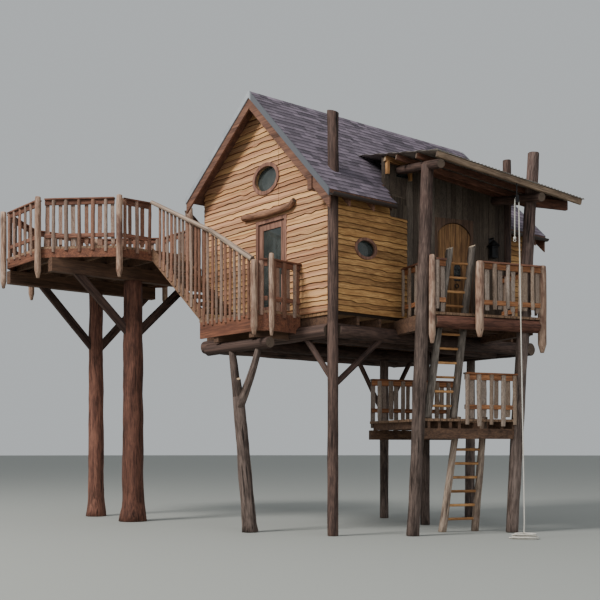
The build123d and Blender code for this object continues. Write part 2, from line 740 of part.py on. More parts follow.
def make_rear_walls():
    """The plain left wall and the plain back gable."""
    left_rafters = rafters(LEFT_EAVE_X, SEAT)
    x0, x1 = -CABIN_WIDTH, -CABIN_WIDTH + WALL
    outline = [(x0, FLOOR_Z), (x0, roof_z(x0, ROOF_THICK)), (x1, roof_z(x1, ROOF_THICK)), (x1, FLOOR_Z)]
    left = largest(scribe(gable_prism(outline, WALL, CABIN_LENGTH - WALL), *left_rafters))
    outline = [(0, FLOOR_Z), *gable_top(0, -CABIN_WIDTH), (-CABIN_WIDTH, FLOOR_Z)]
    back = gable_prism(outline, CABIN_LENGTH - WALL + SEAT, CABIN_LENGTH)
    save("rear_walls", left, largest(scribe(back, ridge_board(SEAT))))


def main_slope(side, grow=0.0):
    """One slope of the main roof: boards and shingles as one sheet."""
    outer = RIGHT_EAVE_X if side > 0 else LEFT_EAVE_X
    outline = slope_profile(RIDGE_X, outer, -grow, ROOF_THICK + grow)
    return gable_prism(outline, -RAKE - grow, CABIN_LENGTH + BACK_RAKE + grow)


def make_main_roof():
    cut = porch_room_cut(SEAT)
    right = scribe(main_slope(1), cut, stub_post(SEAT), corner_post(SEAT))
    save("roof_slopes", largest(right), main_slope(-1))
    room_near = porch_point(SLANT_N, SLANT_CABIN_T, 0)[1]
    tails = block(0, 3000, room_near, RETURN_Y - SLANT_WALL, PORCH_Z, RIDGE_Z)
    pieces = [largest(scribe(piece, cut, tails, stub_post(SEAT))) for piece in rafters(RIGHT_EAVE_X)]
    pieces += rafters(LEFT_EAVE_X)
    save("roof_rafters", *pieces, ridge_board())


def make_barge_boards():
    """Barge boards under the rakes, and the wall plate's end that comes out beside them."""
    plate = block(-310, -190, -RAKE - 30, -SEAT, 6640, 6880)
    plate_cut = block(-310 - SEAT, -190 + SEAT, -RAKE - 40, 0, 6640 - SEAT, 6880 + SEAT)
    pieces = [plate]
    for outer in (RIGHT_EAVE_X, LEFT_EAVE_X):
        outline = slope_profile(RIDGE_X, outer, ROOF_THICK, ROOF_THICK + BARGE_DEPTH)
        front = gable_prism(outline, -RAKE, -RAKE + BARGE_THICK)
        end = CABIN_LENGTH + BACK_RAKE
        pieces += [largest(scribe(front, plate_cut)), gable_prism(outline, end - BARGE_THICK, end)]
    save("barge_boards", *pieces)


def make_edge_metal():
    """Folded drip edges on the rakes, and the gutter along the right eave."""
    pieces = []
    for outer in (RIGHT_EAVE_X, LEFT_EAVE_X):
        outline = slope_profile(RIDGE_X, outer, 0, ROOF_THICK + 45)
        pieces.append(gable_prism(outline, -RAKE - FLASHING, -RAKE - SEAT))
        end = CABIN_LENGTH + BACK_RAKE
        pieces.append(gable_prism(outline, end + SEAT, end + FLASHING))
    z = roof_z(RIGHT_EAVE_X, ROOF_THICK) - 5
    x = RIGHT_EAVE_X + GUTTER_R + SEAT
    far = 1540
    for y0, y1 in ((-RAKE, far), (RETURN_Y + 400, CABIN_LENGTH + BACK_RAKE)):
        tube = log((x, y0, z), (x, y1, z), GUTTER_R)
        bore = log((x, y0 - 10, z), (x, y1 + 10, z), GUTTER_R - 4)
        upper = block(x - 200, x + 200, y0 - 50, y1 + 50, z, z + 300)
        pieces.append(largest(scribe(tube, bore, upper, porch_room_cut(SEAT))))
    save("roof_edge_metal", *pieces)


def slant_outline(t0, t1, bottom, grow=0.0):
    """The slanting wall as a plan strip, cut to the porch roof's underside."""
    strip = [(SLANT_N + grow, t0), (SLANT_N + grow, t1), (SLANT_N - SLANT_WALL - grow, t1)]
    strip.append((SLANT_N - SLANT_WALL - grow, t0))
    return slab([porch_point(n, t, 0)[:2] for n, t in strip], bottom, 8200)


def slant_wall_above(grow=0.0):
    """The part of the slanting wall that stands over the cabin's own side wall."""
    bottom = roof_z(0, ROOF_THICK + RAFTER_DEPTH) + 60
    return slant_outline(SLANT_LEFT_T - grow, SLANT_CABIN_T + 60, bottom - grow, grow)


def make_porch_wall():
    """The slanting plank wall beside and over its arched door, and the short return wall."""
    roof = above_porch_roof(PORCH_ROOF_THICK)
    head = PORCH_DOOR_SPRING + PORCH_DOOR_RISE + PORCH_HEAD
    t_left, t_right = PORCH_DOOR_T
    cabin = block(-WALL - SEAT, SEAT, WALL, porch_point(SLANT_N, SLANT_CABIN_T, 0)[1] + SEAT, 3000, head + 400)
    frame = [room_post(SEAT), *purlins(SEAT), *[cross_log(t, SEAT) for t in CROSS_LOG_T]]
    floor = block(-1000, SEAT, 0, RETURN_Y, 3000, FLOOR_Z)
    left = scribe(slant_outline(SLANT_CABIN_T, t_left, PORCH_Z), roof, cabin, floor, *frame)
    left = scribe(left, block(-3000, 3000, 0, 6000, head, 9000))
    right = scribe(slant_outline(t_right, SLANT_RIGHT_T, PORCH_Z), roof, *frame)
    right = scribe(right, block(-3000, 3000, 0, 6000, head, 9000))
    over = scribe(slant_outline(SLANT_CABIN_T + 60, SLANT_RIGHT_T, head + SEAT), roof, *frame)
    upper = scribe(slant_wall_above(), roof, *frame)
    (t0, t1), (z0, z1) = CLERESTORY_T, CLERESTORY_Z
    window = slab(
        [porch_point(n, t, 0)[:2] for n, t in ((-1000, t0), (-1000, t1), (-1500, t1), (-1500, t0))], z0, z1
    )
    top = largest(scribe(over + upper, window, main_roof_above(SEAT)))
    corner_x, corner_y, _ = porch_point(SLANT_N - SLANT_WALL, SLANT_RIGHT_T, 0)
    back = slab(
        [(SEAT, RETURN_Y - SLANT_WALL), (SEAT, RETURN_Y), (corner_x + 60, RETURN_Y), (corner_x + 60, RETURN_Y - 100)],
        PORCH_Z,
        8200,
    )
    back = scribe(back, roof, room_post(SEAT), slant_outline(0, SLANT_RIGHT_T, PORCH_Z, SEAT), *frame)
    back = largest(scribe(back, main_slope(1, SEAT), *rafters(RIGHT_EAVE_X, SEAT)))
    save("porch_wall", largest(left), largest(right), top, back)


def main_roof_above(grow=0.0):
    """The main roof's sheet and rafters left of the slanting wall."""
    keep = scribe(main_slope(1, grow), porch_room_cut(SEAT - grow))
    return keep


def over_main_roof(grow):
    """A wedge that holds the main roof's right slope and all that is under it."""
    x0, x1 = RIDGE_X, RIGHT_EAVE_X + 200
    points = [(x0, roof_z(x0, -grow)), (x1, roof_z(x1, -grow)), (x1, 4000), (x0, 4000)]
    return gable_prism(points, -1000, CABIN_LENGTH + 1000)


def porch_roof_sheet():
    """The sheet metal roof as one plate, with a splayed left edge."""
    inner_n = -2700
    splay = (PORCH_ROOF_FRONT_N - inner_n) * PORCH_ROOF_SPLAY
    plan = [
        (PORCH_ROOF_FRONT_N, PORCH_ROOF_LEFT_T),
        (PORCH_ROOF_FRONT_N, PORCH_ROOF_RIGHT_T),
        (inner_n, PORCH_ROOF_RIGHT_T),
        (inner_n, PORCH_ROOF_LEFT_T - splay),
    ]
    prism = slab([porch_point(n, t, 0)[:2] for n, t in plan], 5500, 9500)
    return prism & porch_roof_plate(0, PORCH_ROOF_THICK)


def purlin_ends(n):
    """Where a purlin starts and ends, inside the sheet's edges."""
    splay = (PORCH_ROOF_FRONT_N - n) * PORCH_ROOF_SPLAY
    return PORCH_ROOF_LEFT_T - splay + 40, PORCH_ROOF_RIGHT_T - 50


def purlins(grow=0.0):
    """Boards on edge along the roof, planed to its slope and cut where they meet the main roof."""
    width, depth = PURLIN
    pieces = []
    for n in PURLIN_N:
        t0, t1 = purlin_ends(n)
        drop = PORCH_ROOF_THICK + depth / 2 - width * PORCH_FALL_N / 2
        ends = [porch_point(n, t, porch_roof_z(n, t, drop)) for t in (t0, t1)]
        cut = [above_porch_roof(PORCH_ROOF_THICK)] if grow == 0 else []
        pieces.append(largest(scribe(beam(*ends, width, depth, grow), *cut, over_main_roof(SEAT - grow))))
    return pieces


def cross_log(t, grow=0.0):
    """A log square to the porch's front that carries the purlins."""
    drop = PORCH_ROOF_THICK + PURLIN[1] + CROSS_LOG_R - 6
    ends = [porch_point(n, t, porch_roof_z(n, t, drop)) for n in CROSS_LOG_N]
    return log(*ends, CROSS_LOG_R, grow=grow)


def over_cross_log(t):
    """The space over a cross log's centre line, where its post stops."""
    z = porch_roof_z(0, t, PORCH_ROOF_THICK + PURLIN[1] + CROSS_LOG_R)
    x, y, _ = porch_point(0, t, 0)
    return block(x - 400, x + 400, y - 400, y + 400, z, z + 2000)


def make_porch_roof():
    """The sheet, its purlins and cross logs, the level outrigger and the beam over the small window."""
    posts = (right_post(SEAT), room_post(SEAT))
    save("porch_roof", largest(scribe(porch_roof_sheet(), over_main_roof(SEAT), *posts)))
    boards = [largest(scribe(piece, *posts)) for piece in purlins()]
    logs = [largest(scribe(cross_log(t), *purlins(SEAT), *posts)) for t in CROSS_LOG_T]
    width, depth = OUTRIGGER
    n_out = 20
    z = porch_roof_z(n_out, OUTRIGGER_T, PORCH_ROOF_THICK + 4) - depth / 2
    ends = (porch_point(n_out, RIGHT_POST_TOP_T, z), porch_point(n_out, OUTRIGGER_T, z))
    grown_logs = [cross_log(t, SEAT) for t in CROSS_LOG_T]
    outrigger = scribe(beam(*ends, width, depth), *posts, *purlins(SEAT), *grown_logs)
    outrigger = largest(scribe(outrigger, above_porch_roof(PORCH_ROOF_THICK)))
    width, depth = EAVE_BEAM
    n_mid = SLANT_N + width / 2 + SEAT
    drop = PORCH_ROOF_THICK + depth / 2
    ends = [porch_point(n_mid, t, porch_roof_z(n_mid, t, drop)) for t in EAVE_BEAM_T]
    cuts = (above_porch_roof(PORCH_ROOF_THICK), *purlins(SEAT), *grown_logs)
    timber = beam(*ends, width, depth)
    for t in (EAVE_BEAM_T[0] + 60, EAVE_BEAM_T[1] - 90):
        high = porch_roof_z(n_mid, t, drop)
        timber += PORCH * (Pos(n_mid, t, high - 150) * Box(width, 70, 300))
    save("porch_roof_frame", *boards, *logs, outrigger, largest(scribe(timber, *cuts)))


def hinges(lie, heights, side):
    """Butt hinges on an upright axis: fixed knuckles with their pins, and the door's knuckles.

    In the hinge's own frame the door lies towards +x if side is 1, or -x if it is -1, and both
    plates lie on the face at y = -HINGE_R.
    """
    fixed, moving = [], []
    half = HINGE_LENGTH / 2
    for z in heights:
        lower = Pos(0, 0, z - half / 2) * Cylinder(HINGE_R, half - SEAT)
        plate = block(-side * HINGE_PLATE, 0, -HINGE_R, -HINGE_R + 3, z - half, z - SEAT)
        pin = Pos(0, 0, z) * Cylinder(PIN_R, HINGE_LENGTH - 2)
        fixed.append(lie * (lower + plate + pin))
        upper = Pos(0, 0, z + half / 2) * Cylinder(HINGE_R, half - SEAT)
        plate = block(0, side * HINGE_PLATE, -HINGE_R, -HINGE_R + 3, z + SEAT, z + half)
        moving.append(lie * (upper + plate - Pos(0, 0, z) * Cylinder(PIN_R + PIN_PLAY, HINGE_LENGTH + 20)))
    return fixed, moving


def make_gable_door():
    """Frame, leaf and glass of the door to the balcony; the leaf swings into the cabin."""
    y0, y1 = -DOOR_REVEAL, DOOR_THICK + 5
    head = DOOR_HEAD_Z - DOOR_FRAME
    jambs = [
        block(DOOR_LEFT, DOOR_LEFT + DOOR_FRAME, y0, y1, FLOOR_Z, head - SEAT),
        block(DOOR_RIGHT - DOOR_FRAME, DOOR_RIGHT, y0, y1, FLOOR_Z, head - SEAT),
        block(DOOR_LEFT, DOOR_RIGHT, y0, y1, head, DOOR_HEAD_Z),
    ]
    save("gable_door_frame", *jambs)
    x0, x1 = DOOR_LEFT + DOOR_FRAME + DOOR_GAP, DOOR_RIGHT - DOOR_FRAME - DOOR_GAP
    z0, z1 = FLOOR_Z + DOOR_SILL_GAP, head - DOOR_GAP
    leaf = block(x0, x1, 5, 5 + DOOR_THICK, z0, z1)
    light = block(x0 + DOOR_STILE, x1 - DOOR_STILE, -50, 100, z0 + 2 * DOOR_STILE, z1 - DOOR_STILE)
    save("gable_door", leaf - light)
    middle = 5 + DOOR_THICK / 2
    glass = block(
        x0 + DOOR_STILE, x1 - DOOR_STILE, middle - DOOR_GLASS / 2, middle + DOOR_GLASS / 2,
        z0 + 2 * DOOR_STILE, z1 - DOOR_STILE,
    )
    save("gable_door_glass", glass)
    axis_x = DOOR_LEFT + DOOR_FRAME + DOOR_GAP / 2
    lie = Pos(axis_x, 5 + DOOR_THICK + HINGE_R, 0)
    fixed, moving = hinges(lie, (z0 + 220, (z0 + z1) / 2, z1 - 220), 1)
    save("gable_door_hinges", *moving)
    return fixed


def arched(t0, t1, bottom, spring, rise):
    """A door outline with a segmental arch, drawn on the slanting wall's plane."""
    middle = (t0 + t1) / 2
    sides = Polyline((t0, spring), (t0, bottom), (t1, bottom), (t1, spring))
    arch = ThreePointArc((t1, spring), (middle, spring + rise), (t0, spring))
    return make_face(sides + arch)


def on_slant(face, n0, n1):
    """Extrude an outline of the slanting wall's plane from n0 to n1, in the porch's frame."""
    flat = Plane(origin=(n0, 0, 0), x_dir=(0, 1, 0), z_dir=(1, 0, 0)) * face
    return PORCH * extrude(flat, amount=n1 - n0)


def make_porch_door():
    """Arched frame and plank leaf; the leaf swings into the porch room."""
    t_left, t_right = PORCH_DOOR_T
    inner = SLANT_N - PORCH_DOOR_THICK - 5
    outer = SLANT_N + 20
    f = PORCH_DOOR_FRAME
    jambs = []
    for t0, t1 in ((t_left, t_left + f), (t_right - f, t_right)):
        jamb = make_face(Polyline((t0, PORCH_Z), (t1, PORCH_Z), (t1, PORCH_DOOR_SPRING - SEAT), (t0, PORCH_DOOR_SPRING - SEAT), close=True))
        jambs.append(on_slant(jamb, inner, outer))
    top = PORCH_DOOR_SPRING + PORCH_DOOR_RISE + PORCH_HEAD
    outline = Polyline(
        (t_left, PORCH_DOOR_SPRING), (t_right, PORCH_DOOR_SPRING), (t_right, top), (t_left, top), close=True
    )
    opening = arched(t_left + f, t_right - f, PORCH_Z, PORCH_DOOR_SPRING, PORCH_DOOR_RISE)
    head = on_slant(make_face(outline), inner, outer) - on_slant(opening, inner - 10, outer + 10)
    sill = Polyline(
        (t_left + f + SEAT, PORCH_Z), (t_right - f - SEAT, PORCH_Z),
        (t_right - f - SEAT, FLOOR_Z), (t_left + f + SEAT, FLOOR_Z), close=True,
    )
    save("porch_door_frame", *jambs, head, on_slant(make_face(sill), inner + 10, outer))
    gap = DOOR_GAP
    leaf = arched(
        t_left + f + gap, t_right - f - gap, FLOOR_Z + DOOR_SILL_GAP,
        PORCH_DOOR_SPRING - gap, PORCH_DOOR_RISE - gap / 2,
    )
    save("porch_door", on_slant(leaf, inner, inner + PORCH_DOOR_THICK))
    lie = PORCH * Pos(inner - HINGE_R, t_right - f - gap / 2, 0) * Rot(0, 0, 90)
    heights = (PORCH_Z + 250, (PORCH_Z + PORCH_DOOR_SPRING) / 2, PORCH_DOOR_SPRING - 250)
    fixed, moving = hinges(lie, heights, -1)
    save("porch_door_hinges", *moving)
    return fixed


def make_lintel():
    """The bent log over the gable door, its right end turned up."""
    z = DOOR_HEAD_Z + 125
    y = -72
    shape = bent_log([
        ((DOOR_LEFT - 390, y + 11, z + 20), 60),
        ((DOOR_LEFT + 60, y + 3, z - 6), 68),
        ((DOOR_LEFT + 420, y, z - 20), 74),
        ((DOOR_RIGHT - 150, y, z - 14), 72),
        ((DOOR_RIGHT + 150, y, z), 70),
        ((DOOR_RIGHT + 300, y, z + 90), 50),
    ])
    wall = block(-CABIN_WIDTH, 0, -SEAT, WALL, FLOOR_Z, 8000)
    save("door_lintel", largest(scribe(shape, wall)))


def make_windows():
    """Oval frames round the two oval windows, and a pane in each window."""
    w, h = GABLE_WINDOW_SIZE
    ring = gable_oval((w + 2 * WINDOW_RING, h + 2 * WINDOW_RING), -RING_PROUD, -SEAT)
    ring = ring - gable_oval((w - 20, h - 20), -RING_PROUD - 10, 10)
    ws, hs = SIDE_WINDOW_SIZE
    side = side_oval((ws + 1.4 * WINDOW_RING, hs + 1.4 * WINDOW_RING), SEAT, RING_PROUD)
    side = side - side_oval((ws - 20, hs - 20), -10, RING_PROUD + 10)
    save("window_frames", ring, side)
    gable_pane = gable_oval((w - 2 * SEAT, h - 2 * SEAT), WALL / 2 - PANE / 2, WALL / 2 + PANE / 2)
    side_pane = side_oval((ws - 2 * SEAT, hs - 2 * SEAT), -WALL / 2 - PANE / 2, -WALL / 2 + PANE / 2)
    (t0, t1), (z0, z1) = CLERESTORY_T, CLERESTORY_Z
    n = SLANT_N - SLANT_WALL / 2
    plan = [(n, t0 + SEAT), (n + PANE, t0 + SEAT), (n + PANE, t1 - SEAT), (n, t1 - SEAT)]
    small = slab([porch_point(a, b, 0)[:2] for a, b in plan], z0 + SEAT, z1 - SEAT)
    save("window_panes", gable_pane, side_pane, small)


def baluster(width, height):
    """A split slab: flat where it is nailed, rounded outside. It stands on z = 0 along +y."""
    flat = Line((-width / 2, 0), (width / 2, 0))
    round_face = ThreePointArc((width / 2, 0), (0, BALUSTER_THICK), (-width / 2, 0))
    return extrude(make_face(flat + round_face), amount=height)


def railing(start, end, floor, height, low=60, first=0):
    """A railing panel: cap, a board under it, a lower board, and slabs nailed to both faces.

    Seen from the start the outside is on the right. The slabs there reach down to about the
    height low over the floor, and those inside stop just over the floor.
    """
    (x0, y0), (x1, y1) = start, end
    length = math.hypot(x1 - x0, y1 - y0)
    cap = Pos(length / 2, 0, height - CAP_THICK / 2) * Box(length, CAP_WIDTH, CAP_THICK)
    under = Pos(length / 2, 0, height - CAP_THICK - UNDER_DEPTH / 2) * Box(length, RAIL_BOARD, UNDER_DEPTH)
    lower = Pos(length / 2, 0, LOW_RAIL + LOW_DEPTH / 2) * Box(length, RAIL_BOARD, LOW_DEPTH)
    panel = cap + under + lower
    count = max(1, int((length - BALUSTER_WIDTH) // BALUSTER_PITCH) + 1)
    pitch = (length - BALUSTER_WIDTH - 10) / max(1, count - 1)
    for i in range(count):
        x = BALUSTER_WIDTH / 2 + 5 + i * pitch
        width = BALUSTER_WIDTH * (0.86 + 0.07 * ((i * 5 + first) % 4))
        outside = (i + first) % 2 == 0
        drop = (low if outside else max(low, 60)) - 16 * ((i * 3 + first) % 4)
        slab_piece = Pos(0, 0, drop) * baluster(width, height - CAP_THICK - drop)
        if outside:
            panel += Pos(x, -RAIL_BOARD / 2, 0) * Rot(0, 0, 180) * slab_piece
        else:
            panel += Pos(x, RAIL_BOARD / 2, 0) * slab_piece
    return Plane(origin=(x0, y0, floor), x_dir=(x1 - x0, y1 - y0, 0), z_dir=(0, 0, 1)) * panel


def hanging_log(x, y, bottom, top, radius):
    """A corner log that hangs past the floor's edge, whittled to a blunt point below."""
    shaft = log((x, y, bottom + 1.6 * radius), (x, y, top - 0.3 * radius), radius)
    point = log((x, y, bottom), (x, y, bottom + 1.6 * radius), radius * 0.35, radius)
    head = log((x, y, top - 0.3 * radius), (x, y, top), radius, radius * 0.72)
    return shaft + point + head


def balcony_log_places():
    """Centres of the balcony's two corner logs, just outside its corners."""
    _, a, b, _ = balcony_outline()
    places = []
    for (x, y), radius, angle in ((a, BALCONY_LOG_R[0], -20), (b, BALCONY_LOG_R[1], -68)):
        reach = radius + SEAT
        places.append((x + reach * math.cos(math.radians(angle)), y + reach * math.sin(math.radians(angle))))
    return places


def lookout_log_places():
    return lookout_corners(LOOKOUT_R + CORNER_LOG_R + SEAT)


def lookout_log_cuts():
    """The lookout's corner logs, a seat larger, to cut the railings that end at them."""
    top = LOOKOUT_Z + LOOKOUT_RAIL + 100
    return [log((x, y, LOOKOUT_Z - 700), (x, y, top), CORNER_LOG_R + SEAT) for x, y in lookout_log_places()]


def porch_log_places():
    """Centres and radii of the porch's three railing logs."""
    left_r, middle_r, right_r = PORCH_LOG_R
    left_t, right_t = RIM_LOG_T[0] - left_r - SEAT, RIM_LOG_T[1] + right_r + SEAT
    return [
        (porch_point(200, left_t, 0)[:2], left_r, 3690, 5390),
        (porch_point(RIM_LOG_N + RIM_LOG_R + middle_r + SEAT, MIDDLE_LOG_T, 0)[:2], middle_r, 3830, 5300),
        (porch_point(190, right_t, 0)[:2], right_r, 3600, 5350),
    ]


def make_hanging_logs():
    pieces = []
    (ax, ay), (bx, by) = balcony_log_places()
    pieces.append(hanging_log(ax, ay, 3850, FLOOR_Z + RAIL_HEIGHT + 60, BALCONY_LOG_R[0]))
    pieces.append(hanging_log(bx, by, 3870, FLOOR_Z + RAIL_HEIGHT - 60, BALCONY_LOG_R[1]))
    for x, y in lookout_log_places():
        pieces.append(hanging_log(x, y, LOOKOUT_Z - 700, LOOKOUT_Z + LOOKOUT_RAIL + 30, CORNER_LOG_R))
    for (x, y), radius, bottom, top in porch_log_places():
        pieces.append(hanging_log(x, y, bottom, top, radius))
    posts = (left_post(SEAT), right_post(SEAT), rim_log(SEAT))
    save("hanging_logs", *[largest(scribe(piece, *posts)) for piece in pieces])


def shorten(start, end, cut_start, cut_end):
    """A plan line with its two ends drawn in."""
    (x0, y0), (x1, y1) = start, end
    length = math.hypot(x1 - x0, y1 - y0)
    dx, dy = (x1 - x0) / length, (y1 - y0) / length
    return (x0 + dx * cut_start, y0 + dy * cut_start), (x1 - dx * cut_end, y1 - dy * cut_end)


def make_railings():
    """The railings of the lookout, the balcony, the porch and the middle platform."""
    corners = lookout_corners(LOOKOUT_R - RAIL_BOARD / 2 / math.cos(math.radians(22.5)))
    logs = lookout_log_cuts()
    panels = []
    for k in range(1, 8):
        ends = shorten(corners[k], corners[(k + 1) % 8], 30, 30)
        panels.append(railing(*ends, LOOKOUT_Z, LOOKOUT_RAIL, low=-90, first=k))
    stair_side = (corners[0][0], STAIR_NEAR_Y - 20)
    panels.append(railing(*shorten(corners[0], stair_side, 30, 0), LOOKOUT_Z, LOOKOUT_RAIL, low=-90))
    save("lookout_railing", *[largest(scribe(panel, *logs)) for panel in panels])

    wall_point, a, b, _ = balcony_outline()
    inset = RAIL_BOARD / 2
    ends = shorten((wall_point[0] - inset, 40), (a[0] - inset, a[1]), 0, 12)
    first = railing(ends[1], ends[0], FLOOR_Z, RAIL_HEIGHT - 30, low=-90)
    ends = shorten((a[0] - 0.7 * inset, a[1] + 0.7 * inset), (b[0] - 0.7 * inset, b[1] + 0.7 * inset), 45, 14)
    second = railing(ends[1], ends[0], FLOOR_Z, RAIL_HEIGHT - 30, low=-90)
    cuts = [block(-CABIN_WIDTH, 0, -SEAT, WALL, 3000, 7000)]
    for (x, y), radius in zip(balcony_log_places(), BALCONY_LOG_R):
        cuts.append(log((x, y, 3000), (x, y, 7000), radius + SEAT))
    first, second = largest(scribe(first, *cuts)), largest(scribe(second, *cuts))
    save("balcony_railing", first, largest(scribe(second, first)))

    n = PORCH_FRONT_N + 12
    low_n, low_t = SLANT_N + 120, PORCH_LEFT_T + 75
    ends = {
        "right_front": (porch_point(n, 1310, 0)[:2], porch_point(n, 2842, 0)[:2], 130),
        "left_front": (porch_point(n - 40, 310, 0)[:2], porch_point(n - 40, 600, 0)[:2], 60),
        "left_side": (porch_point(-1060, low_t, 0)[:2], porch_point(190, low_t, 0)[:2], 60),
        "right_side": (porch_point(190, 2742, 0)[:2], porch_point(low_n, 2742, 0)[:2], 60),
    }
    posts = [left_post(SEAT), right_post(SEAT), room_post(SEAT), slant_outline(0, 2860, 4000, SEAT)]
    posts += porch_log_cuts()
    done = []
    for start, end, low in ends.values():
        panel = railing(start, end, PORCH_Z, RAIL_HEIGHT, low=low)
        done.append(largest(scribe(panel, *posts, *[other for other in done])))
    save("porch_railing", *done)

    n = MID_FRONT_N - RAIL_BOARD / 2
    front = railing(porch_point(n, 1130, 0)[:2], porch_point(n, 2420, 0)[:2], MID_Z, MID_RAIL_HEIGHT, low=-110)
    n = MID_BACK_N + RAIL_BOARD / 2
    ends = (porch_point(n, MID_T[1] - 30, 0)[:2], porch_point(n, MID_T[0] + 30, 0)[:2])
    back = railing(*ends, MID_Z, MID_RAIL_HEIGHT, low=-110)
    cuts = (left_post(SEAT), right_post(SEAT), back_post(SEAT), *upper_rails(SEAT))
    save("mid_platform_railing", *[largest(scribe(panel, *cuts)) for panel in (front, back)])


def porch_log_cuts():
    """The porch's railing logs, a seat larger, to cut the boards that end at them."""
    return [
        log((x, y, bottom), (x, y, top + 50), radius + SEAT)
        for (x, y), radius, bottom, top in porch_log_places()
    ]


def make_stair():
    """Two stringers and the treads between them, from the balcony up to the lookout."""
    top_x = lookout_corners()[0][0] + SEAT
    rise = (LOOKOUT_Z - FLOOR_Z) / RISERS
    slope = (LOOKOUT_Z - FLOOR_Z) / (STAIR_FOOT_X - top_x)
    above, below = FLOOR_Z + STRINGER_ABOVE, FLOOR_Z - STRINGER_BELOW
    outline = [
        (STAIR_FOOT_X + STRINGER_ABOVE / slope, FLOOR_Z),
        (top_x, above + slope * (STAIR_FOOT_X - top_x)),
        (top_x, below + slope * (STAIR_FOOT_X - top_x)),
        (STAIR_FOOT_X - STRINGER_BELOW / slope, FLOOR_Z),
    ]
    far_y = STAIR_NEAR_Y + STAIR_WIDTH
    near = gable_prism(outline, STAIR_NEAR_Y, STAIR_NEAR_Y + STRINGER)
    far = gable_prism(outline, far_y - STRINGER, far_y)
    run = (STAIR_FOOT_X - top_x) / (RISERS - 1)
    treads = []
    for k in range(1, RISERS):
        z = FLOOR_Z + k * rise
        x = STAIR_FOOT_X - (k - 1) * run
        tread_end = max(x - run, top_x)
        inner = (STAIR_NEAR_Y + STRINGER + SEAT, far_y - STRINGER - SEAT)
        treads.append(block(tread_end, x + 20, *inner, z - TREAD_THICK, z))
    save("stair", near, far, *treads)


def make_stair_rail():
    """The long bowed handrail beside the stair, with slabs down to the balcony and the stringer."""
    _, _, b, _ = balcony_outline()
    y = -BALCONY_DEPTH - 58
    z0 = FLOOR_Z + RAIL_HEIGHT - 60
    top_x = lookout_corners()[0][0] + 85
    z1 = LOOKOUT_Z + LOOKOUT_RAIL
    log_x = balcony_log_places()[1][0]
    start, middle, end = (log_x, y, z0), (b[0] - 1500, y, z0 + 830), (top_x, y, z1)
    pole = log(start, middle, 58, 55) + log(middle, end, 55, 48) + Pos(*middle) * Sphere(55.5)
    slope = (LOOKOUT_Z - FLOOR_Z) / (STAIR_FOOT_X - top_x)
    rail = pole
    x = start[0] - 100
    i = 0
    while x > top_x + 150:
        if x > middle[0]:
            pole_z = z0 + (start[0] - x) / (start[0] - middle[0]) * (middle[2] - z0)
        else:
            pole_z = middle[2] + (middle[0] - x) / (middle[0] - top_x) * (z1 - middle[2])
        foot = FLOOR_Z - 120 if x > STAIR_FOOT_X - 150 else FLOOR_Z - 150 + slope * (STAIR_FOOT_X - x)
        width = BALUSTER_WIDTH * (0.86 + 0.07 * ((i * 5) % 4))
        rail += Pos(x, -BALCONY_DEPTH - SEAT, foot) * Rot(0, 0, 180) * baluster(width, pole_z - foot)
        x -= BALUSTER_PITCH * 1.12
        i += 1
    x, y = balcony_log_places()[1]
    corner = log((x, y, 3000), (x, y, 7000), BALCONY_LOG_R[1] + SEAT)
    save("stair_rail", largest(scribe(rail, corner, *lookout_log_cuts())))


def rails(left, right, radius, grow=0.0):
    """A ladder's two log rails."""
    return [log(*ends, radius, radius * 0.88, grow=grow) for ends in (left, right)]


def rungs(left, right, radius, first, count, rung_radius):
    """Rungs let in between two rails, level, one pitch apart."""
    pieces = []
    for i in range(count):
        z = first + i * RUNG_PITCH
        points = []
        for low, high in (left, right):
            share = (z - low[2]) / (high[2] - low[2])
            points.append(tuple(a + (b - a) * share for a, b in zip(low, high)))
        rung = log(points[0], points[1], rung_radius)
        pieces.append(largest(scribe(rung, *rails(left, right, radius, SEAT))))
    return pieces


def upper_rail_lines():
    """The leaning ladder's rails, from the middle platform up through the porch floor."""
    n = UPPER_LADDER_N
    left = (porch_point(n, 340, MID_Z - 30), porch_point(n, 850, 5600))
    right = (porch_point(n, 930, MID_Z - 30), porch_point(n, 1360, 5680))
    return left, right


def upper_rails(grow=0.0):
    return rails(*upper_rail_lines(), LADDER_R, grow)


def lower_rail_lines():
    """The ladder from the ground, its rails let into the edge of the middle platform's hatch."""
    n = LOWER_HATCH_N[1] - LADDER_R * 0.88 + 14
    left = (porch_point(-575, 985, -40), porch_point(n, 1190, MID_Z + 60))
    right = (porch_point(-575, 1745, -40), porch_point(n, 1805, MID_Z + 60))
    return left, right


def lower_rails(grow=0.0):
    return rails(*lower_rail_lines(), LADDER_R, grow)


def make_ladders():
    """The leaning ladder through the porch floor, and the one from the ground below it."""
    under = block(-4000, 6000, -4000, 6000, 0, MID_Z)
    lines = upper_rail_lines()
    pieces = [largest(scribe(rail, under)) for rail in rails(*lines, LADDER_R)]
    pieces += rungs(*lines, LADDER_R, MID_Z + 250, 11, RUNG_R)

    lines = lower_rail_lines()
    pieces += [largest(scribe(rail, GROUND)) for rail in lower_rails()]
    pieces += rungs(*lines, LADDER_R, 260, 7, RUNG_R + 5)
    save("ladders", *pieces)


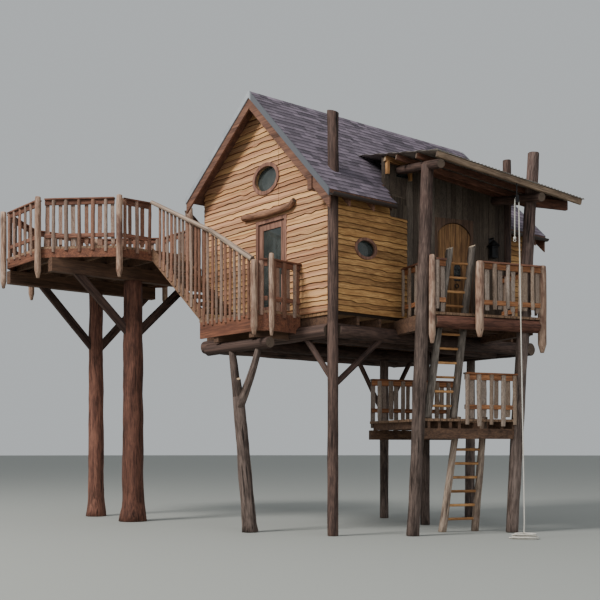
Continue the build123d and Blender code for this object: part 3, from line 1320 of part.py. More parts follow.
def make_lantern():
    """A hanging lantern beside the arched door: wall plate, arm, hood and caged body."""
    t, z = 2515, 5700
    n = SLANT_N + SEAT
    plate = Pos(n + 10, t, z + 330) * Box(20, 90, 230)
    arm = Pos(n + 75, t, z + 430) * Box(130, 22, 22)
    stem = Pos(n + 130, t, z + 400) * Box(18, 18, 60)
    hood = Pos(n + 130, t, z + 255) * extrude(Rectangle(210, 210), amount=130, taper=35)
    body = Pos(n + 130, t, z + 130) * (Box(140, 140, 250) - Box(112, 160, 190) - Box(160, 112, 190))
    core = Pos(n + 130, t, z + 130) * Box(104, 104, 250)
    save("lantern", PORCH * (plate + arm + stem + hood + body + core))


def make_pulley():
    """A pulley block hooked under the front purlin: grooved sheave, pin, cheeks and crown."""
    n, t, z = PURLIN_N[0], PULLEY_T, PULLEY_Z
    half = SHEAVE_GAP / 2
    lie = PORCH * Pos(n, t, z) * Rot(0, 90, 0)
    rim = [Pos(0, 0, s * (half + 2)) * Cylinder(SHEAVE_FLANGE_R, 4) for s in (-1, 1)]
    sheave = lie * (Cylinder(SHEAVE_R, SHEAVE_GAP + 2) + rim[0] + rim[1] - Cylinder(8, 60))
    pin = lie * Cylinder(7.7, 2 * half + 24)
    face = half + 4 + SEAT
    cheeks = [PORCH * Pos(n + s * (face + 2), t, z + 16) * Box(4, 76, 130) for s in (-1, 1)]
    crown = PORCH * Pos(n, t, z + 88) * Box(2 * face + 8, 76, 14)
    under = porch_roof_z(n, t, PORCH_ROOF_THICK + PURLIN[1]) + 25
    hook = PORCH * Pos(n, t, (z + 95 + under) / 2) * Cylinder(11, under - z - 95)
    shackle = (hook + crown + cheeks[0] + cheeks[1] + pin) - purlins(SEAT)[0]
    save("pulley", sheave, largest(shackle))


def rope_points():
    """The rope's route: up from its tail, over the sheave and down to the heap."""
    n, t, z = PURLIN_N[0], PULLEY_T, PULLEY_Z
    r = SHEAVE_R + SEAT + ROPE_R
    hx, hy = HEAP[0] - 90, HEAP[1] + 120
    return [
        porch_point(n, t - r, ROPE_TAIL_Z),
        porch_point(n, t - r, z + r),
        porch_point(n, t + r, z + r),
        porch_point(n, t + r, z - 240),
        (hx, hy, HEAP_SIZE[2] + 400),
        (hx, hy, HEAP_SIZE[2] + SEAT),
    ]


def make_rope():
    """The rope as a plain tube, the heap's outer shape, and the hook tied to its tail."""
    points = [Vector(*p) for p in rope_points()]
    radii = []
    for before, here, after in zip(points, points[1:], points[2:]):
        run_in, run_out = here - before, after - here
        half_turn = math.radians(run_in.get_angle(run_out)) / 2
        radii.append(0.45 * min(run_in.length, run_out.length) / math.tan(half_turn))
    print("rope radii", [round(radius) for radius in radii])
    path = FilletPolyline(*points, radius=radii)
    start = Plane(origin=points[0], z_dir=points[1] - points[0])
    tube = sweep(start * Circle(ROPE_R), path=path)
    print("rope volume share", round(tube.volume / (math.pi * ROPE_R**2 * path.length), 4))
    save("rope", tube)

    width, depth, height = HEAP_SIZE
    heap = extrude(Ellipse(width / 2, depth / 2), amount=height, taper=30)
    save("rope_heap", Pos(*HEAP, 0) * heap)

    x, y, z = points[0].X, points[0].Y, points[0].Z
    knot = Pos(x, y, z - 24) * Sphere(30) - block(x - 60, x + 60, y - 60, y + 60, z - SEAT, z + 60)
    eye = PORCH * Pos(PURLIN_N[0], PULLEY_T - SHEAVE_R - SEAT - ROPE_R, z - 70) * Rot(0, 90, 0) * Torus(26, 6)
    save("rope_hook", knot + eye)


make_posts()
make_forked_post()
make_braces()
make_girders()
make_joists()
make_floors()
make_lookout_beams()
make_rims()
make_gable_wall()
make_side_walls()
make_rear_walls()
make_main_roof()
make_barge_boards()
make_edge_metal()
make_porch_wall()
make_porch_roof()
save("door_hinge_pins", *make_gable_door(), *make_porch_door())
make_lintel()
make_windows()
make_hanging_logs()
make_railings()
make_stair()
make_stair_rail()
make_ladders()
make_lantern()
make_pulley()
make_rope()
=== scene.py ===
# %% [markdown]
# # A timber tree house
# A small cabin stands on log posts, with a railed porch under its own metal roof, a balcony, and a stair up to an
# eight-sided lookout. The solid model gives every main shape in metres. Here the pieces get what makes them look
# real: wavy boards, shingles, corrugated sheet, bark-scarred logs, split slabs and a rope.

# %% The frame of solids
import bpy
import math
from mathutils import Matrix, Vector, noise


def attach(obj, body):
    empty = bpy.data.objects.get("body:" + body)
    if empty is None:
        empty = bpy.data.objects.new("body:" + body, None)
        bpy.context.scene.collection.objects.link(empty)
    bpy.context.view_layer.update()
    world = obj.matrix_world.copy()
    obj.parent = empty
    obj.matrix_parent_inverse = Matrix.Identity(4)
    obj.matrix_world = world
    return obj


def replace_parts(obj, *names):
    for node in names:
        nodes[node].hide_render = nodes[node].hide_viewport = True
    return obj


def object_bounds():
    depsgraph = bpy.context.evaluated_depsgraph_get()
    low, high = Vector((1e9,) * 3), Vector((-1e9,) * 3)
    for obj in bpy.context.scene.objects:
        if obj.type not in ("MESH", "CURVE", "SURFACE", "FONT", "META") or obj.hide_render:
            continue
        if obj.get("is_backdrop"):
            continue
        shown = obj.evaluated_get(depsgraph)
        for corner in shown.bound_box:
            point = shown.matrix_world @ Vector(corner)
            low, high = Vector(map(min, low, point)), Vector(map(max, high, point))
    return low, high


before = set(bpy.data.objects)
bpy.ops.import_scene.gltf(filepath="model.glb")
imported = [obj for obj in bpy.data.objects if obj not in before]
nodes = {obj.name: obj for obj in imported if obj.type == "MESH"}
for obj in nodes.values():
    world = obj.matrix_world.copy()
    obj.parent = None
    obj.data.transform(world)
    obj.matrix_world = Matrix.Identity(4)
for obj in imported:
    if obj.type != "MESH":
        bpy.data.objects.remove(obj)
solids_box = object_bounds()

# %% [markdown]
# The camera comes first. It stands level at a person's height, 19 m away, with its frame shifted upwards, which keeps
# upright posts parallel. A lens of 60 mm on a sensor of 36 mm gives that view. Lights will be aimed in the same way.

# %% Camera
def linked(name, data):
    """A new object in the scene."""
    thing = bpy.data.objects.new(name, data)
    bpy.context.scene.collection.objects.link(thing)
    return thing


def aimed(name, data, place, direction):
    """A camera or a light at a place, looking in a direction."""
    thing = linked(name, data)
    thing.location = place
    thing.rotation_mode = "QUATERNION"
    thing.rotation_quaternion = direction.to_track_quat("-Z", "Y")
    return thing


EYE = Vector((14.34, -12.77, 1.65))
LOOK = Vector((-0.768, 0.640, 0.0))
lens = bpy.data.cameras.new("camera")
lens.lens, lens.sensor_width, lens.shift_y = 60, 36, 0.25
lens.clip_end = 400
bpy.context.scene.camera = aimed("camera", lens, EYE, LOOK)
print("camera at", tuple(EYE))

# %% [markdown]
# The porch is turned 17.6 degrees against the cabin. A point there is easier to give by its own two directions: n
# runs out of the porch's front, and t along it.

# %% Places in the porch's own directions
TURN = math.radians(-17.6)
PORCH_X, PORCH_Y = 0.98, 1.18
OUT = Vector((math.cos(TURN), math.sin(TURN), 0))
ALONG = Vector((-math.sin(TURN), math.cos(TURN), 0))


def porch(n, t, z):
    """A point of the porch as a point of the whole house."""
    return Vector((PORCH_X, PORCH_Y, z)) + n * OUT + t * ALONG


def plan(n, t):
    """The same without its height."""
    return tuple(porch(n, t, 0)[:2])


print("porch corner at", tuple(round(c, 3) for c in porch(0, 0, 4.3)))

# %% [markdown]
# The hauling rope is one long limp cord. Its short end hangs from the pulley with a knot and a ring, its long fall
# comes down to the floor, and the rest lies in a loose heap of rings. One smooth curve carries all of it. The
# strands are then twisted round the points read from that curve.

# %% The rope's route
ROPE = 0.025
HEAP_X, HEAP_Y = 2.73, 2.33
route = [
    (2.0691, 2.8934, 5.80), (2.0691, 2.8934, 6.20), (2.0691, 2.8934, 6.5675),
    (2.0978, 2.9840, 6.5675), (2.0978, 2.9840, 6.28),
    (2.64, 2.45, 0.50), (2.64, 2.45, 0.20), (2.64, 2.43, 0.1003),
]


def ring_point(turn, radius, z, off_x=0.0, off_y=0.0):
    """A point of the heap's rings, which bulge and shrink a little as they go round."""
    angle = math.radians(125) - turn * 2 * math.pi
    bulge = 1 + 0.05 * math.sin(2 * angle + 0.7) + 0.03 * math.sin(3 * angle)
    x = HEAP_X + off_x + 1.06 * radius * bulge * math.cos(angle)
    return (x, HEAP_Y + off_y + 0.95 * radius * bulge * math.sin(angle), z)


POINTS_A_TURN = 14
LAYERS = (
    # turns, height, first radius, growth a turn, and how far off the middle it lies
    (1.7, 0.0925, 0.140, 0.046, (0.004, 0.008)),
    (2.2, 0.0655, 0.220, -0.046, (0.0, 0.004)),
    (2.9, 0.0390, 0.116, 0.050, (0.004, 0.0)),
    (3.1, 0.0125, 0.268, -0.048, (0.0, 0.0)),
)
turn = 0.0
for turns, z, radius, growth, off in LAYERS:
    for k in range(int(turns * POINTS_A_TURN)):
        turn += 1 / POINTS_A_TURN
        route.append(ring_point(turn, radius + growth * k / POINTS_A_TURN, z, *off))


def smooth_line(name, strands, order=3):
    """A curve of smooth splines, one for each list of points."""
    line = bpy.data.curves.new(name, "CURVE")
    line.dimensions = "3D"
    for strand in strands:
        spline = line.splines.new("NURBS")
        spline.points.add(len(strand) - 1)
        for point, spot in zip(spline.points, strand):
            point.co = (*spot, 1)
        spline.order_u = min(order, len(strand))
        spline.use_endpoint_u = True
    return line


rope_line = smooth_line("rope_line", [route])
rope_line.splines[0].resolution_u = 12
rope_guide = linked("rope_line", rope_line)
drawn = bpy.data.meshes.new_from_object(rope_guide)
rope_path = [v.co.copy() for v in drawn.vertices]
bpy.data.objects.remove(rope_guide)

# %% [markdown]
# A finish is a set of shader nodes. Written as sums, it stays readable: a small class wraps one socket, so that
# plus, minus and times add Math nodes, and one method adds any other node.

# %% Shader sums
class Shade:
    """One output of a shader node, which Python's sums work on."""

    def __init__(self, finish, socket):
        self.finish, self.socket = finish, socket

    def __add__(self, other):
        return self.finish.maths("ADD", self, other)

    def __sub__(self, other):
        return self.finish.maths("SUBTRACT", self, other)

    def __rsub__(self, other):
        return self.finish.maths("SUBTRACT", other, self)

    def __mul__(self, other):
        return self.finish.maths("MULTIPLY", self, other)


class Finish:
    """A material with one surface shader and the nodes that colour it."""

    def __init__(self, name, **plain):
        self.material = bpy.data.materials.new(name)
        self.material.use_nodes = True
        self.tree = self.material.node_tree
        self.shader = self.tree.nodes["Principled BSDF"]
        for socket, value in plain.items():
            self.shader.inputs[socket.replace("_", " ")].default_value = value

    def node(self, kind, settings=None, sockets=None, output=0):
        """Any node: its settings first, then the values or links of its sockets."""
        made = self.tree.nodes.new(kind)
        for key, value in (settings or {}).items():
            setattr(made, key, value)
        for key, value in (sockets or {}).items():
            if isinstance(value, Shade):
                self.tree.links.new(value.socket, made.inputs[key])
            else:
                made.inputs[key].default_value = value
        return Shade(self, made.outputs[output])

    def maths(self, kind, *amounts):
        """A Math node of a kind, on one amount or two."""
        return self.node("ShaderNodeMath", {"operation": kind}, dict(enumerate(amounts)))

    def objects_place(self):
        """Where a point is, in metres."""
        return self.node("ShaderNodeTexCoord", output="Object")

    def written(self, name, output="Vector"):
        """A value that the mesh carries on its points."""
        return self.node("ShaderNodeAttribute", {"attribute_name": name}, output=output)

    def stretched(self, place, scale):
        return self.node("ShaderNodeVectorMath", {"operation": "MULTIPLY"}, {0: place, 1: scale})

    def moved(self, place, by):
        return self.node("ShaderNodeVectorMath", {"operation": "ADD"}, {0: place, 1: by})

    def noise(self, place, scale, detail=3.0, rough=0.55):
        sockets = {"Vector": place, "Scale": scale, "Detail": detail, "Roughness": rough}
        return self.node("ShaderNodeTexNoise", None, sockets)

    def ramp(self, amount, low, high):
        """0 below low, 1 above high, and smooth between."""
        settings = {"interpolation_type": "SMOOTHSTEP"}
        sockets = {"Value": amount, "From Min": low, "From Max": high}
        return self.node("ShaderNodeMapRange", settings, sockets)

    def mix(self, amount, first, second, way="MIX"):
        """Two colours mixed."""
        settings = {"data_type": "RGBA", "blend_type": way, "clamp_factor": True}
        first = first if isinstance(first, Shade) else (*first, 1)
        second = second if isinstance(second, Shade) else (*second, 1)
        return self.node("ShaderNodeMix", settings, {0: amount, 6: first, 7: second}, 2)

    def parts(self, place):
        """The three numbers of a place."""
        split = self.tree.nodes.new("ShaderNodeSeparateXYZ")
        self.tree.links.new(place.socket, split.inputs[0])
        return [Shade(self, output) for output in split.outputs]

    def paint(self, colour, roughness, height, depth):
        """Colour, roughness and a bump whose height is in metres times depth."""
        self.tree.links.new(colour.socket, self.shader.inputs["Base Color"])
        if isinstance(roughness, Shade):
            self.tree.links.new(roughness.socket, self.shader.inputs["Roughness"])
        else:
            self.shader.inputs["Roughness"].default_value = roughness
        bump = self.node("ShaderNodeBump", None, {"Height": height, "Distance": depth, "Strength": 1.0})
        self.tree.links.new(bump.socket, self.shader.inputs["Normal"])
        return self.material


def scaled(colour, by):
    """A colour made darker or lighter."""
    return tuple(min(1.0, c * by) for c in colour)


print("shader sums ready")

# %% [markdown]
# Wood is one idea with many faces: fibres along the timber, darker late wood, cracks, weather stains. Each timber
# that is made here carries its own coordinates in a value called grain, whose third number runs along the timber.
# On the solids that stay, the fibres follow one of the house's axes instead.

# %% Wood
GRAIN_AXIS = {None: (0, 0, 1), "x": (1, 0, 0), "y": (0, 1, 0), "z": (0, 0, 1)}
LONG_FIBRE, LONG_CRACK, LONG_STAIN = 0.05, 0.0225, 0.35


def planked(f, colour, height, stain, width, across):
    """Gaps between boards of a width, and a tone for each board. Across is the direction over the boards."""
    run = f.node("ShaderNodeVectorMath", {"operation": "DOT_PRODUCT"}, {0: f.objects_place(), 1: across}, "Value")
    board = run * (1 / width)
    from_edge = f.maths("PINGPONG", f.maths("FRACT", board), 0.5)
    gap = 1.0 - f.ramp(from_edge, 0.012, 0.035)
    each = f.node("ShaderNodeTexWhiteNoise", {"noise_dimensions": "1D"}, {"W": f.maths("FLOOR", board)})
    colour = f.mix(each * 0.35, colour, stain)
    return f.mix(gap, colour, scaled(stain, 0.12)), height - gap * 3.0


def wood(
    name, pale, dark, stain, axis=None, cracks=0.5, stains=0.5, seams=None, other=None, shade=0.42, shade_aloft=None,
    edges=False, deep=0.0035,
):
    """A weathered wood. Seams is a board's width and the direction across the boards, for a planked surface.

    Other is a second hue, which some of the timbers have. Shade is how much darker the darkest timber is. The colour
    given for high up is painted shade: the upper timbers turn darker there, where they stand in shade. The lap flag
    means that the mesh carries a value for the painted shade under and over its lapped edges.
    """
    f = Finish(name, Specular_IOR_Level=0.25)
    place, tint = f.objects_place(), f.written("tint", "Fac")
    grain = place
    if axis is None:
        x, y, z = f.parts(place)
        slide = f.node("ShaderNodeCombineXYZ", None, {0: tint * 3.7, 1: tint * 5.1, 2: (x + y + z) * 0.8})
        grain = f.moved(f.written("grain"), slide)

    def drawn_out(share, scale, detail, rough):
        """Noise in streaks along the timber, which are the longer the smaller the share is."""
        return f.noise(f.stretched(grain, tuple(share if c else 1.0 for c in GRAIN_AXIS[axis])), scale, detail, rough)

    fibres, bands = drawn_out(LONG_FIBRE, 55, 4, 0.65), drawn_out(LONG_FIBRE, 14, 3, 0.6)
    weather, split = drawn_out(LONG_STAIN, 3.2, 4, 0.6), drawn_out(LONG_CRACK, 21, 2, 0.5)
    crack = 1.0 - f.ramp(split, 0.30, 0.385)
    late = f.ramp(bands, 0.36, 0.64)
    colour = f.mix(late, pale, dark)
    if other:
        hue = f.maths("PINGPONG", tint * 5.3, 1.0)
        colour = f.mix(f.ramp(hue, 0.30, 0.80), colour, f.mix(late, other, scaled(other, 0.55)))
    # Painted shade: high up the colour turns darker, for the upper timbers that stand in shade.
    if shade_aloft:
        high = f.ramp(f.parts(place)[2] * 0.1, 0.42, 0.62)
        colour = f.mix(high, colour, f.mix(late, shade_aloft, scaled(shade_aloft, 0.5)))
    light = f.ramp(1.0 - fibres, 0.46, 0.62) * f.ramp(weather, 0.35, 0.6)
    colour = f.mix(light * 0.35, colour, scaled(pale, 1.75))
    colour = f.mix(f.ramp(fibres, 0.42, 0.66) * 0.5, colour, stain)
    colour = f.mix(f.ramp(weather, 0.44, 0.70) * stains, colour, stain)
    dims = {0: 1 - tint * shade, 1: 1 - tint * (shade * 1.08), 2: 1 - tint * (shade * 1.12)}
    colour = f.mix(1.0, colour, f.node("ShaderNodeCombineXYZ", None, dims), "MULTIPLY")
    colour = f.mix(crack * cracks, colour, scaled(stain, 0.22))
    height = fibres * 0.25 + bands * 0.35 - crack * (1.2 * cracks)
    # Painted shade from the edge value: dark under each board's lip and under the lap of the board above.
    if edges:
        colour = f.mix(f.written("edge", "Fac"), colour, scaled(stain, 0.30))
    if seams:
        colour, height = planked(f, colour, height, stain, *seams)
    return f.paint(colour, f.ramp(weather, 0.3, 0.8) * 0.14 + 0.72, height, deep)


FINISH = {
    # The grey-brown logs turn darker high up: painted shade.
    "log": wood(
        "log_grey_brown", (0.190, 0.140, 0.118), (0.078, 0.054, 0.044), (0.030, 0.021, 0.018), cracks=0.9, shade=0.3,
        shade_aloft=(0.140, 0.085, 0.070), deep=0.008,
    ),
    "log_dark": wood(
        "log_dark_brown", (0.125, 0.076, 0.060), (0.056, 0.034, 0.028), (0.026, 0.017, 0.014), cracks=0.9, shade=0.3,
        deep=0.007,
    ),
    "log_red": wood(
        "log_red_brown", (0.245, 0.108, 0.072), (0.115, 0.048, 0.034), (0.042, 0.022, 0.017), cracks=0.7, deep=0.006,
    ),
    "log_pale": wood(
        "log_weathered", (0.400, 0.310, 0.240), (0.225, 0.160, 0.122), (0.090, 0.060, 0.045), cracks=0.8, shade=0.16,
        deep=0.006,
    ),
    "log_peeled": wood(
        "log_peeled", (0.470, 0.330, 0.240), (0.290, 0.175, 0.120), (0.120, 0.060, 0.045), cracks=0.7, stains=0.95,
        shade=0.16, deep=0.007,
    ),
    "log_grey": wood(
        "log_grey", (0.225, 0.190, 0.160), (0.105, 0.085, 0.070), (0.040, 0.032, 0.027), cracks=0.9, shade=0.2,
        deep=0.007,
    ),
    "log_bent": wood(
        "log_bent", (0.350, 0.185, 0.110), (0.185, 0.092, 0.056), (0.075, 0.040, 0.028), cracks=0.5, shade=0.1,
    ),
    "siding": wood(
        "siding_honey", (0.800, 0.475, 0.225), (0.620, 0.325, 0.135), (0.330, 0.130, 0.060), cracks=0.35, stains=0.42,
        other=(0.720, 0.380, 0.215), shade=0.26, edges=True,
    ),
    # A darker, more golden copy of the same siding for the side walls: painted shade, as those walls stand in shade.
    "siding_in_shade": wood(
        "siding_in_shade", (0.660, 0.370, 0.145), (0.480, 0.245, 0.088), (0.220, 0.100, 0.040), cracks=0.30, stains=0.32,
        other=(0.560, 0.300, 0.120), shade=0.28, edges=True,
    ),
    "plank": wood(
        "plank_olive", (0.150, 0.118, 0.088), (0.090, 0.068, 0.050), (0.040, 0.029, 0.022), cracks=0.5,
        other=(0.185, 0.150, 0.122), shade=0.5,
    ),
    "slab": wood(
        "slab_red", (0.350, 0.180, 0.115), (0.200, 0.098, 0.064), (0.088, 0.046, 0.034), cracks=0.6,
        other=(0.430, 0.320, 0.255), shade=0.42,
    ),
    "slab_grey": wood(
        "slab_grey", (0.400, 0.300, 0.225), (0.245, 0.170, 0.122), (0.110, 0.070, 0.048), cracks=0.6,
        other=(0.520, 0.420, 0.350), shade=0.30,
    ),
    "cap": wood("rail_red", (0.265, 0.118, 0.074), (0.150, 0.066, 0.043), (0.066, 0.033, 0.024), cracks=0.5),
    "cap_orange": wood("rail_orange", (0.480, 0.210, 0.090), (0.290, 0.118, 0.054), (0.120, 0.052, 0.030), cracks=0.4),
    "rung": wood("rung_orange", (0.620, 0.330, 0.135), (0.420, 0.200, 0.078), (0.170, 0.080, 0.038), cracks=0.3),
    "fascia": wood("fascia_tan", (0.330, 0.235, 0.160), (0.205, 0.138, 0.092), (0.085, 0.055, 0.040), cracks=0.5),
}
print("timber finishes:", len(FINISH))

# %% [markdown]
# The solids that stay have no grain written on them, so each finish for them follows the axis that most of its
# timbers run along. Floors and walls of boards get their gaps from the same finish.

# %% Wood on the solids that stay
ACROSS_PORCH = (0.3024, 0.9532, 0.0)
FINISH.update({
    "beam": wood("beam_dark_y", (0.150, 0.082, 0.050), (0.085, 0.046, 0.030), (0.042, 0.026, 0.019), "y"),
    "rim": wood("rim_red", (0.215, 0.085, 0.046), (0.120, 0.046, 0.028), (0.055, 0.026, 0.018), "x", stains=0.6),
    "deck": wood(
        "deck_boards", (0.290, 0.175, 0.105), (0.180, 0.105, 0.062), (0.080, 0.048, 0.032), "x",
        seams=(0.14, (0.0, 1.0, 0.0)),
    ),
    "barge": wood("barge_brown", (0.190, 0.092, 0.058), (0.110, 0.052, 0.036), (0.052, 0.028, 0.021), "x"),
    "room_wall": wood(
        "plank_solid", (0.120, 0.092, 0.068), (0.070, 0.052, 0.039), (0.034, 0.025, 0.019), "z",
        seams=(0.14, ACROSS_PORCH),
    ),
    "inside": wood(
        "inside_boards", (0.420, 0.250, 0.120), (0.300, 0.165, 0.075), (0.150, 0.080, 0.040), "z",
        seams=(0.16, (0.9532, 0.31, 0.0)),
    ),
    "door": wood("door_brown", (0.290, 0.150, 0.105), (0.170, 0.082, 0.060), (0.070, 0.036, 0.026), "z"),
    "frame_dark": wood("frame_dark", (0.125, 0.072, 0.046), (0.075, 0.043, 0.029), (0.036, 0.023, 0.017), "z"),
    "door_planks": wood(
        "door_planks", (0.300, 0.160, 0.066), (0.175, 0.085, 0.036), (0.062, 0.031, 0.018), "z",
        seams=(0.135, ACROSS_PORCH),
    ),
    "floor": wood(
        "floor_boards", (0.400, 0.240, 0.120), (0.280, 0.150, 0.075), (0.140, 0.075, 0.040), "y",
        seams=(0.12, (1.0, 0.0, 0.0)),
    ),
    "tread": wood("tread_brown", (0.260, 0.150, 0.088), (0.165, 0.090, 0.054), (0.075, 0.044, 0.030), "y"),
})
print("wood finishes:", len(FINISH))

# %% [markdown]
# A cut log end shows rings round its heart and cracks that run out from it. The rings come from the distance to the
# heart, which the first two numbers of grain give.

# %% Cut ends
def cut_end(name, pale, dark):
    f = Finish(name, Specular_IOR_Level=0.2)
    grain = f.written("grain")
    x, y, _ = f.parts(grain)
    reach = f.maths("SQRT", x * x + y * y) + f.noise(grain, 9, 2) * 0.012
    ring = f.maths("SINE", reach * 900.0)
    angle = f.maths("ARCTAN2", y, x)
    ray = f.node("ShaderNodeTexNoise", {"noise_dimensions": "1D"}, {"W": angle, "Scale": 3.2, "Detail": 2.0})
    crack = (1.0 - f.ramp(ray, 0.30, 0.36)) * f.ramp(reach, 0.004, 0.03)
    colour = f.mix(ring * 0.3 + 0.35, pale, dark)
    colour = f.mix(f.ramp(f.noise(f.objects_place(), 4), 0.4, 0.75) * 0.5, colour, dark)
    colour = f.mix(crack, colour, scaled(dark, 0.25))
    return f.paint(colour, 0.85, ring * 0.2 - crack * 2.0, 0.002)


FINISH["end"] = cut_end("cut_end_pale", (0.480, 0.360, 0.230), (0.250, 0.165, 0.100))
FINISH["end_fresh"] = cut_end("cut_end_fresh", (0.740, 0.600, 0.450), (0.520, 0.380, 0.260))
FINISH["end_dark"] = cut_end("cut_end_grey", (0.150, 0.108, 0.080), (0.070, 0.050, 0.038))
print("cut ends ready")

# %% [markdown]
# The rest is metal, shingle, glass and rope. Shingles are purple-grey mineral grit, each a little different. The
# sheet roof is dull zinc with patches of rust. Iron is nearly black and slightly rough.

# %% Roofing, metal, glass and rope
def shingle():
    f = Finish("shingle_grit", Specular_IOR_Level=0.2)
    place = f.objects_place()
    grit, patch, under = f.noise(place, 260, 2), f.noise(place, 5, 3), f.written("edge", "Fac")
    colour = f.mix(f.written("tint", "Fac"), (0.050, 0.041, 0.054), (0.225, 0.180, 0.228))
    colour = f.mix(f.ramp(grit, 0.40, 0.62) * 0.40, colour, (0.280, 0.240, 0.285))
    colour = f.mix(f.ramp(patch, 0.5, 0.75) * 0.45, colour, (0.050, 0.046, 0.044))
    # Painted shade from the edge value: dark where each course slips under the one above and at the butt's foot.
    colour = f.mix(under * under * 0.95, colour, (0.012, 0.010, 0.014))
    return f.paint(colour, 0.9, grit, 0.0015)


def metal(name, pale, dark, rust, rusty, rough, metallic, shade_and_gutter=False):
    """Sheet metal or iron. With the last flag set, the right slope's edge is darker, which is painted shade, and what
    hangs outside its eave is the gutter's brown.
    """
    f = Finish(name, Metallic=metallic)
    place = f.objects_place()
    cloud = f.noise(place, 3.5, 4, 0.6)
    speck = f.noise(place, 38, 3, 0.7)
    colour = f.mix(f.ramp(cloud, 0.35, 0.65), pale, dark)
    worn = f.ramp(speck, 0.52, 0.70) * f.ramp(cloud, 0.42, 0.62) * rusty
    colour = f.mix(worn, colour, rust)
    if shade_and_gutter:
        x = f.parts(place)[0]
        # Painted shade: the edge metal on the right slope, beyond the ridge, is darker.
        colour = f.mix(f.ramp(x * 0.1 + 1.0, 0.780, 0.790), colour, (0.105, 0.110, 0.125))
        colour = f.mix(f.ramp(x, 0.300, 0.304), colour, (0.050, 0.038, 0.034))
    return f.paint(colour, worn * 0.5 + rough, speck, 0.0006)


def glass():
    f = Finish("window_glass", Transmission_Weight=0.45, IOR=1.45, Specular_IOR_Level=0.6)
    dust = f.noise(f.objects_place(), 3.0, 3)
    colour = f.mix(f.ramp(dust, 0.3, 0.7), (0.050, 0.062, 0.060), (0.105, 0.120, 0.112))
    return f.paint(colour, f.ramp(dust, 0.4, 0.8) * 0.12 + 0.05, dust, 0.0004)


def rope_fibre():
    f = Finish("rope_fibre", Specular_IOR_Level=0.2, Sheen_Weight=0.15)
    fibre = f.noise(f.stretched(f.written("grain"), (1, 1, 0.2)), 420, 3)
    soil = f.noise(f.objects_place(), 6, 3)
    colour = f.mix(f.ramp(fibre, 0.35, 0.65), (0.520, 0.490, 0.430), (0.720, 0.695, 0.630))
    colour = f.mix(f.ramp(soil, 0.5, 0.75) * 0.4, colour, (0.330, 0.285, 0.215))
    return f.paint(colour, 0.92, fibre, 0.001)


FINISH["sheet"] = metal(
    "sheet_zinc", (0.330, 0.300, 0.270), (0.230, 0.200, 0.175), (0.200, 0.095, 0.045),
    rusty=0.8, rough=0.5, metallic=0.5,
)
# This edge metal is darker on the right slope: painted shade.
FINISH["edge"] = metal(
    "edge_blue_grey", (0.400, 0.425, 0.450), (0.320, 0.345, 0.375), (0.210, 0.170, 0.140),
    rusty=0.3, rough=0.45, metallic=0.3, shade_and_gutter=True,
)
FINISH["iron"] = metal(
    "iron_black", (0.030, 0.030, 0.032), (0.018, 0.018, 0.019), (0.080, 0.042, 0.026),
    rusty=0.35, rough=0.5, metallic=0.8,
)
FINISH["shingle"], FINISH["glass"], FINISH["rope"] = shingle(), glass(), rope_fibre()
print("finishes:", len(FINISH))

# %% [markdown]
# Most pieces are made alike: rings or rows of points are joined by faces, the finish goes on, and values that it
# reads, such as the grain, are written on the points. Small helpers do that once for all pieces.

# %% Helpers for meshes
def skin(rows, size, first=0):
    """The faces between closed rings of points that follow one another."""
    faces = []
    for low in range(first, first + (rows - 1) * size, size):
        for i in range(size):
            j = (i + 1) % size
            faces.append((low + i, low + j, low + size + j, low + size + i))
    return faces


def closed_skin(rows, size, first=0):
    """The same, with one face over the first ring and one over the last."""
    last = first + (rows - 1) * size
    return skin(rows, size, first) + [tuple(reversed(range(first, first + size))), tuple(range(last, last + size))]


def new_mesh(name, points, faces, finishes=(), **written):
    """A mesh with its finishes. Written gives, by name, a number or a vector for every point."""
    mesh = bpy.data.meshes.new(name)
    mesh.from_pydata(points, [], faces)
    for finish in finishes:
        mesh.materials.append(finish)
    for key, values in written.items():
        if isinstance(values[0], float):
            mesh.attributes.new(key, "FLOAT", "POINT").data.foreach_set("value", values)
        else:
            numbers = [c for vector in values for c in vector]
            mesh.attributes.new(key, "FLOAT_VECTOR", "POINT").data.foreach_set("vector", numbers)
    return mesh


def plain_mesh(thing):
    """The mesh that an object's modifiers or curve make. The object goes."""
    depsgraph = bpy.context.evaluated_depsgraph_get()
    mesh = bpy.data.meshes.new_from_object(thing.evaluated_get(depsgraph), depsgraph=depsgraph)
    bpy.data.objects.remove(thing)
    return mesh


def put(name, mesh, body="building"):
    """A new object for a mesh, riding on a body."""
    thing = linked(name, mesh)
    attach(thing, body)
    return thing


def between(stations, at):
    """The value at a place, from a list of places and values in order."""
    for (p0, v0), (p1, v1) in zip(stations, stations[1:]):
        if p0 <= at <= p1:
            return v0 + (v1 - v0) * (at - p0) / max(p1 - p0, 1e-9)
    return stations[-1][1] if at > stations[-1][0] else stations[0][1]


print("a closed skin on two rings of six:", len(closed_skin(2, 6)), "faces")

# %% [markdown]
# A peeled log is never a true cylinder. It could be sculpted, but a rule does it: rings along a line, each pushed in
# and out a little by noise, with chipped ends. One builder gathers logs and boards into one mesh, and writes on
# every point the grain's coordinates and a tint that differs from timber to timber.

# %% The timber builder
LOG_STEP, LOG_CHIP, CHIPPED = 0.16, 0.012, 0.91
CUT_FROM, CUT_OVER = 0.93, 0.05
BOARD_CHAMFER = 0.12


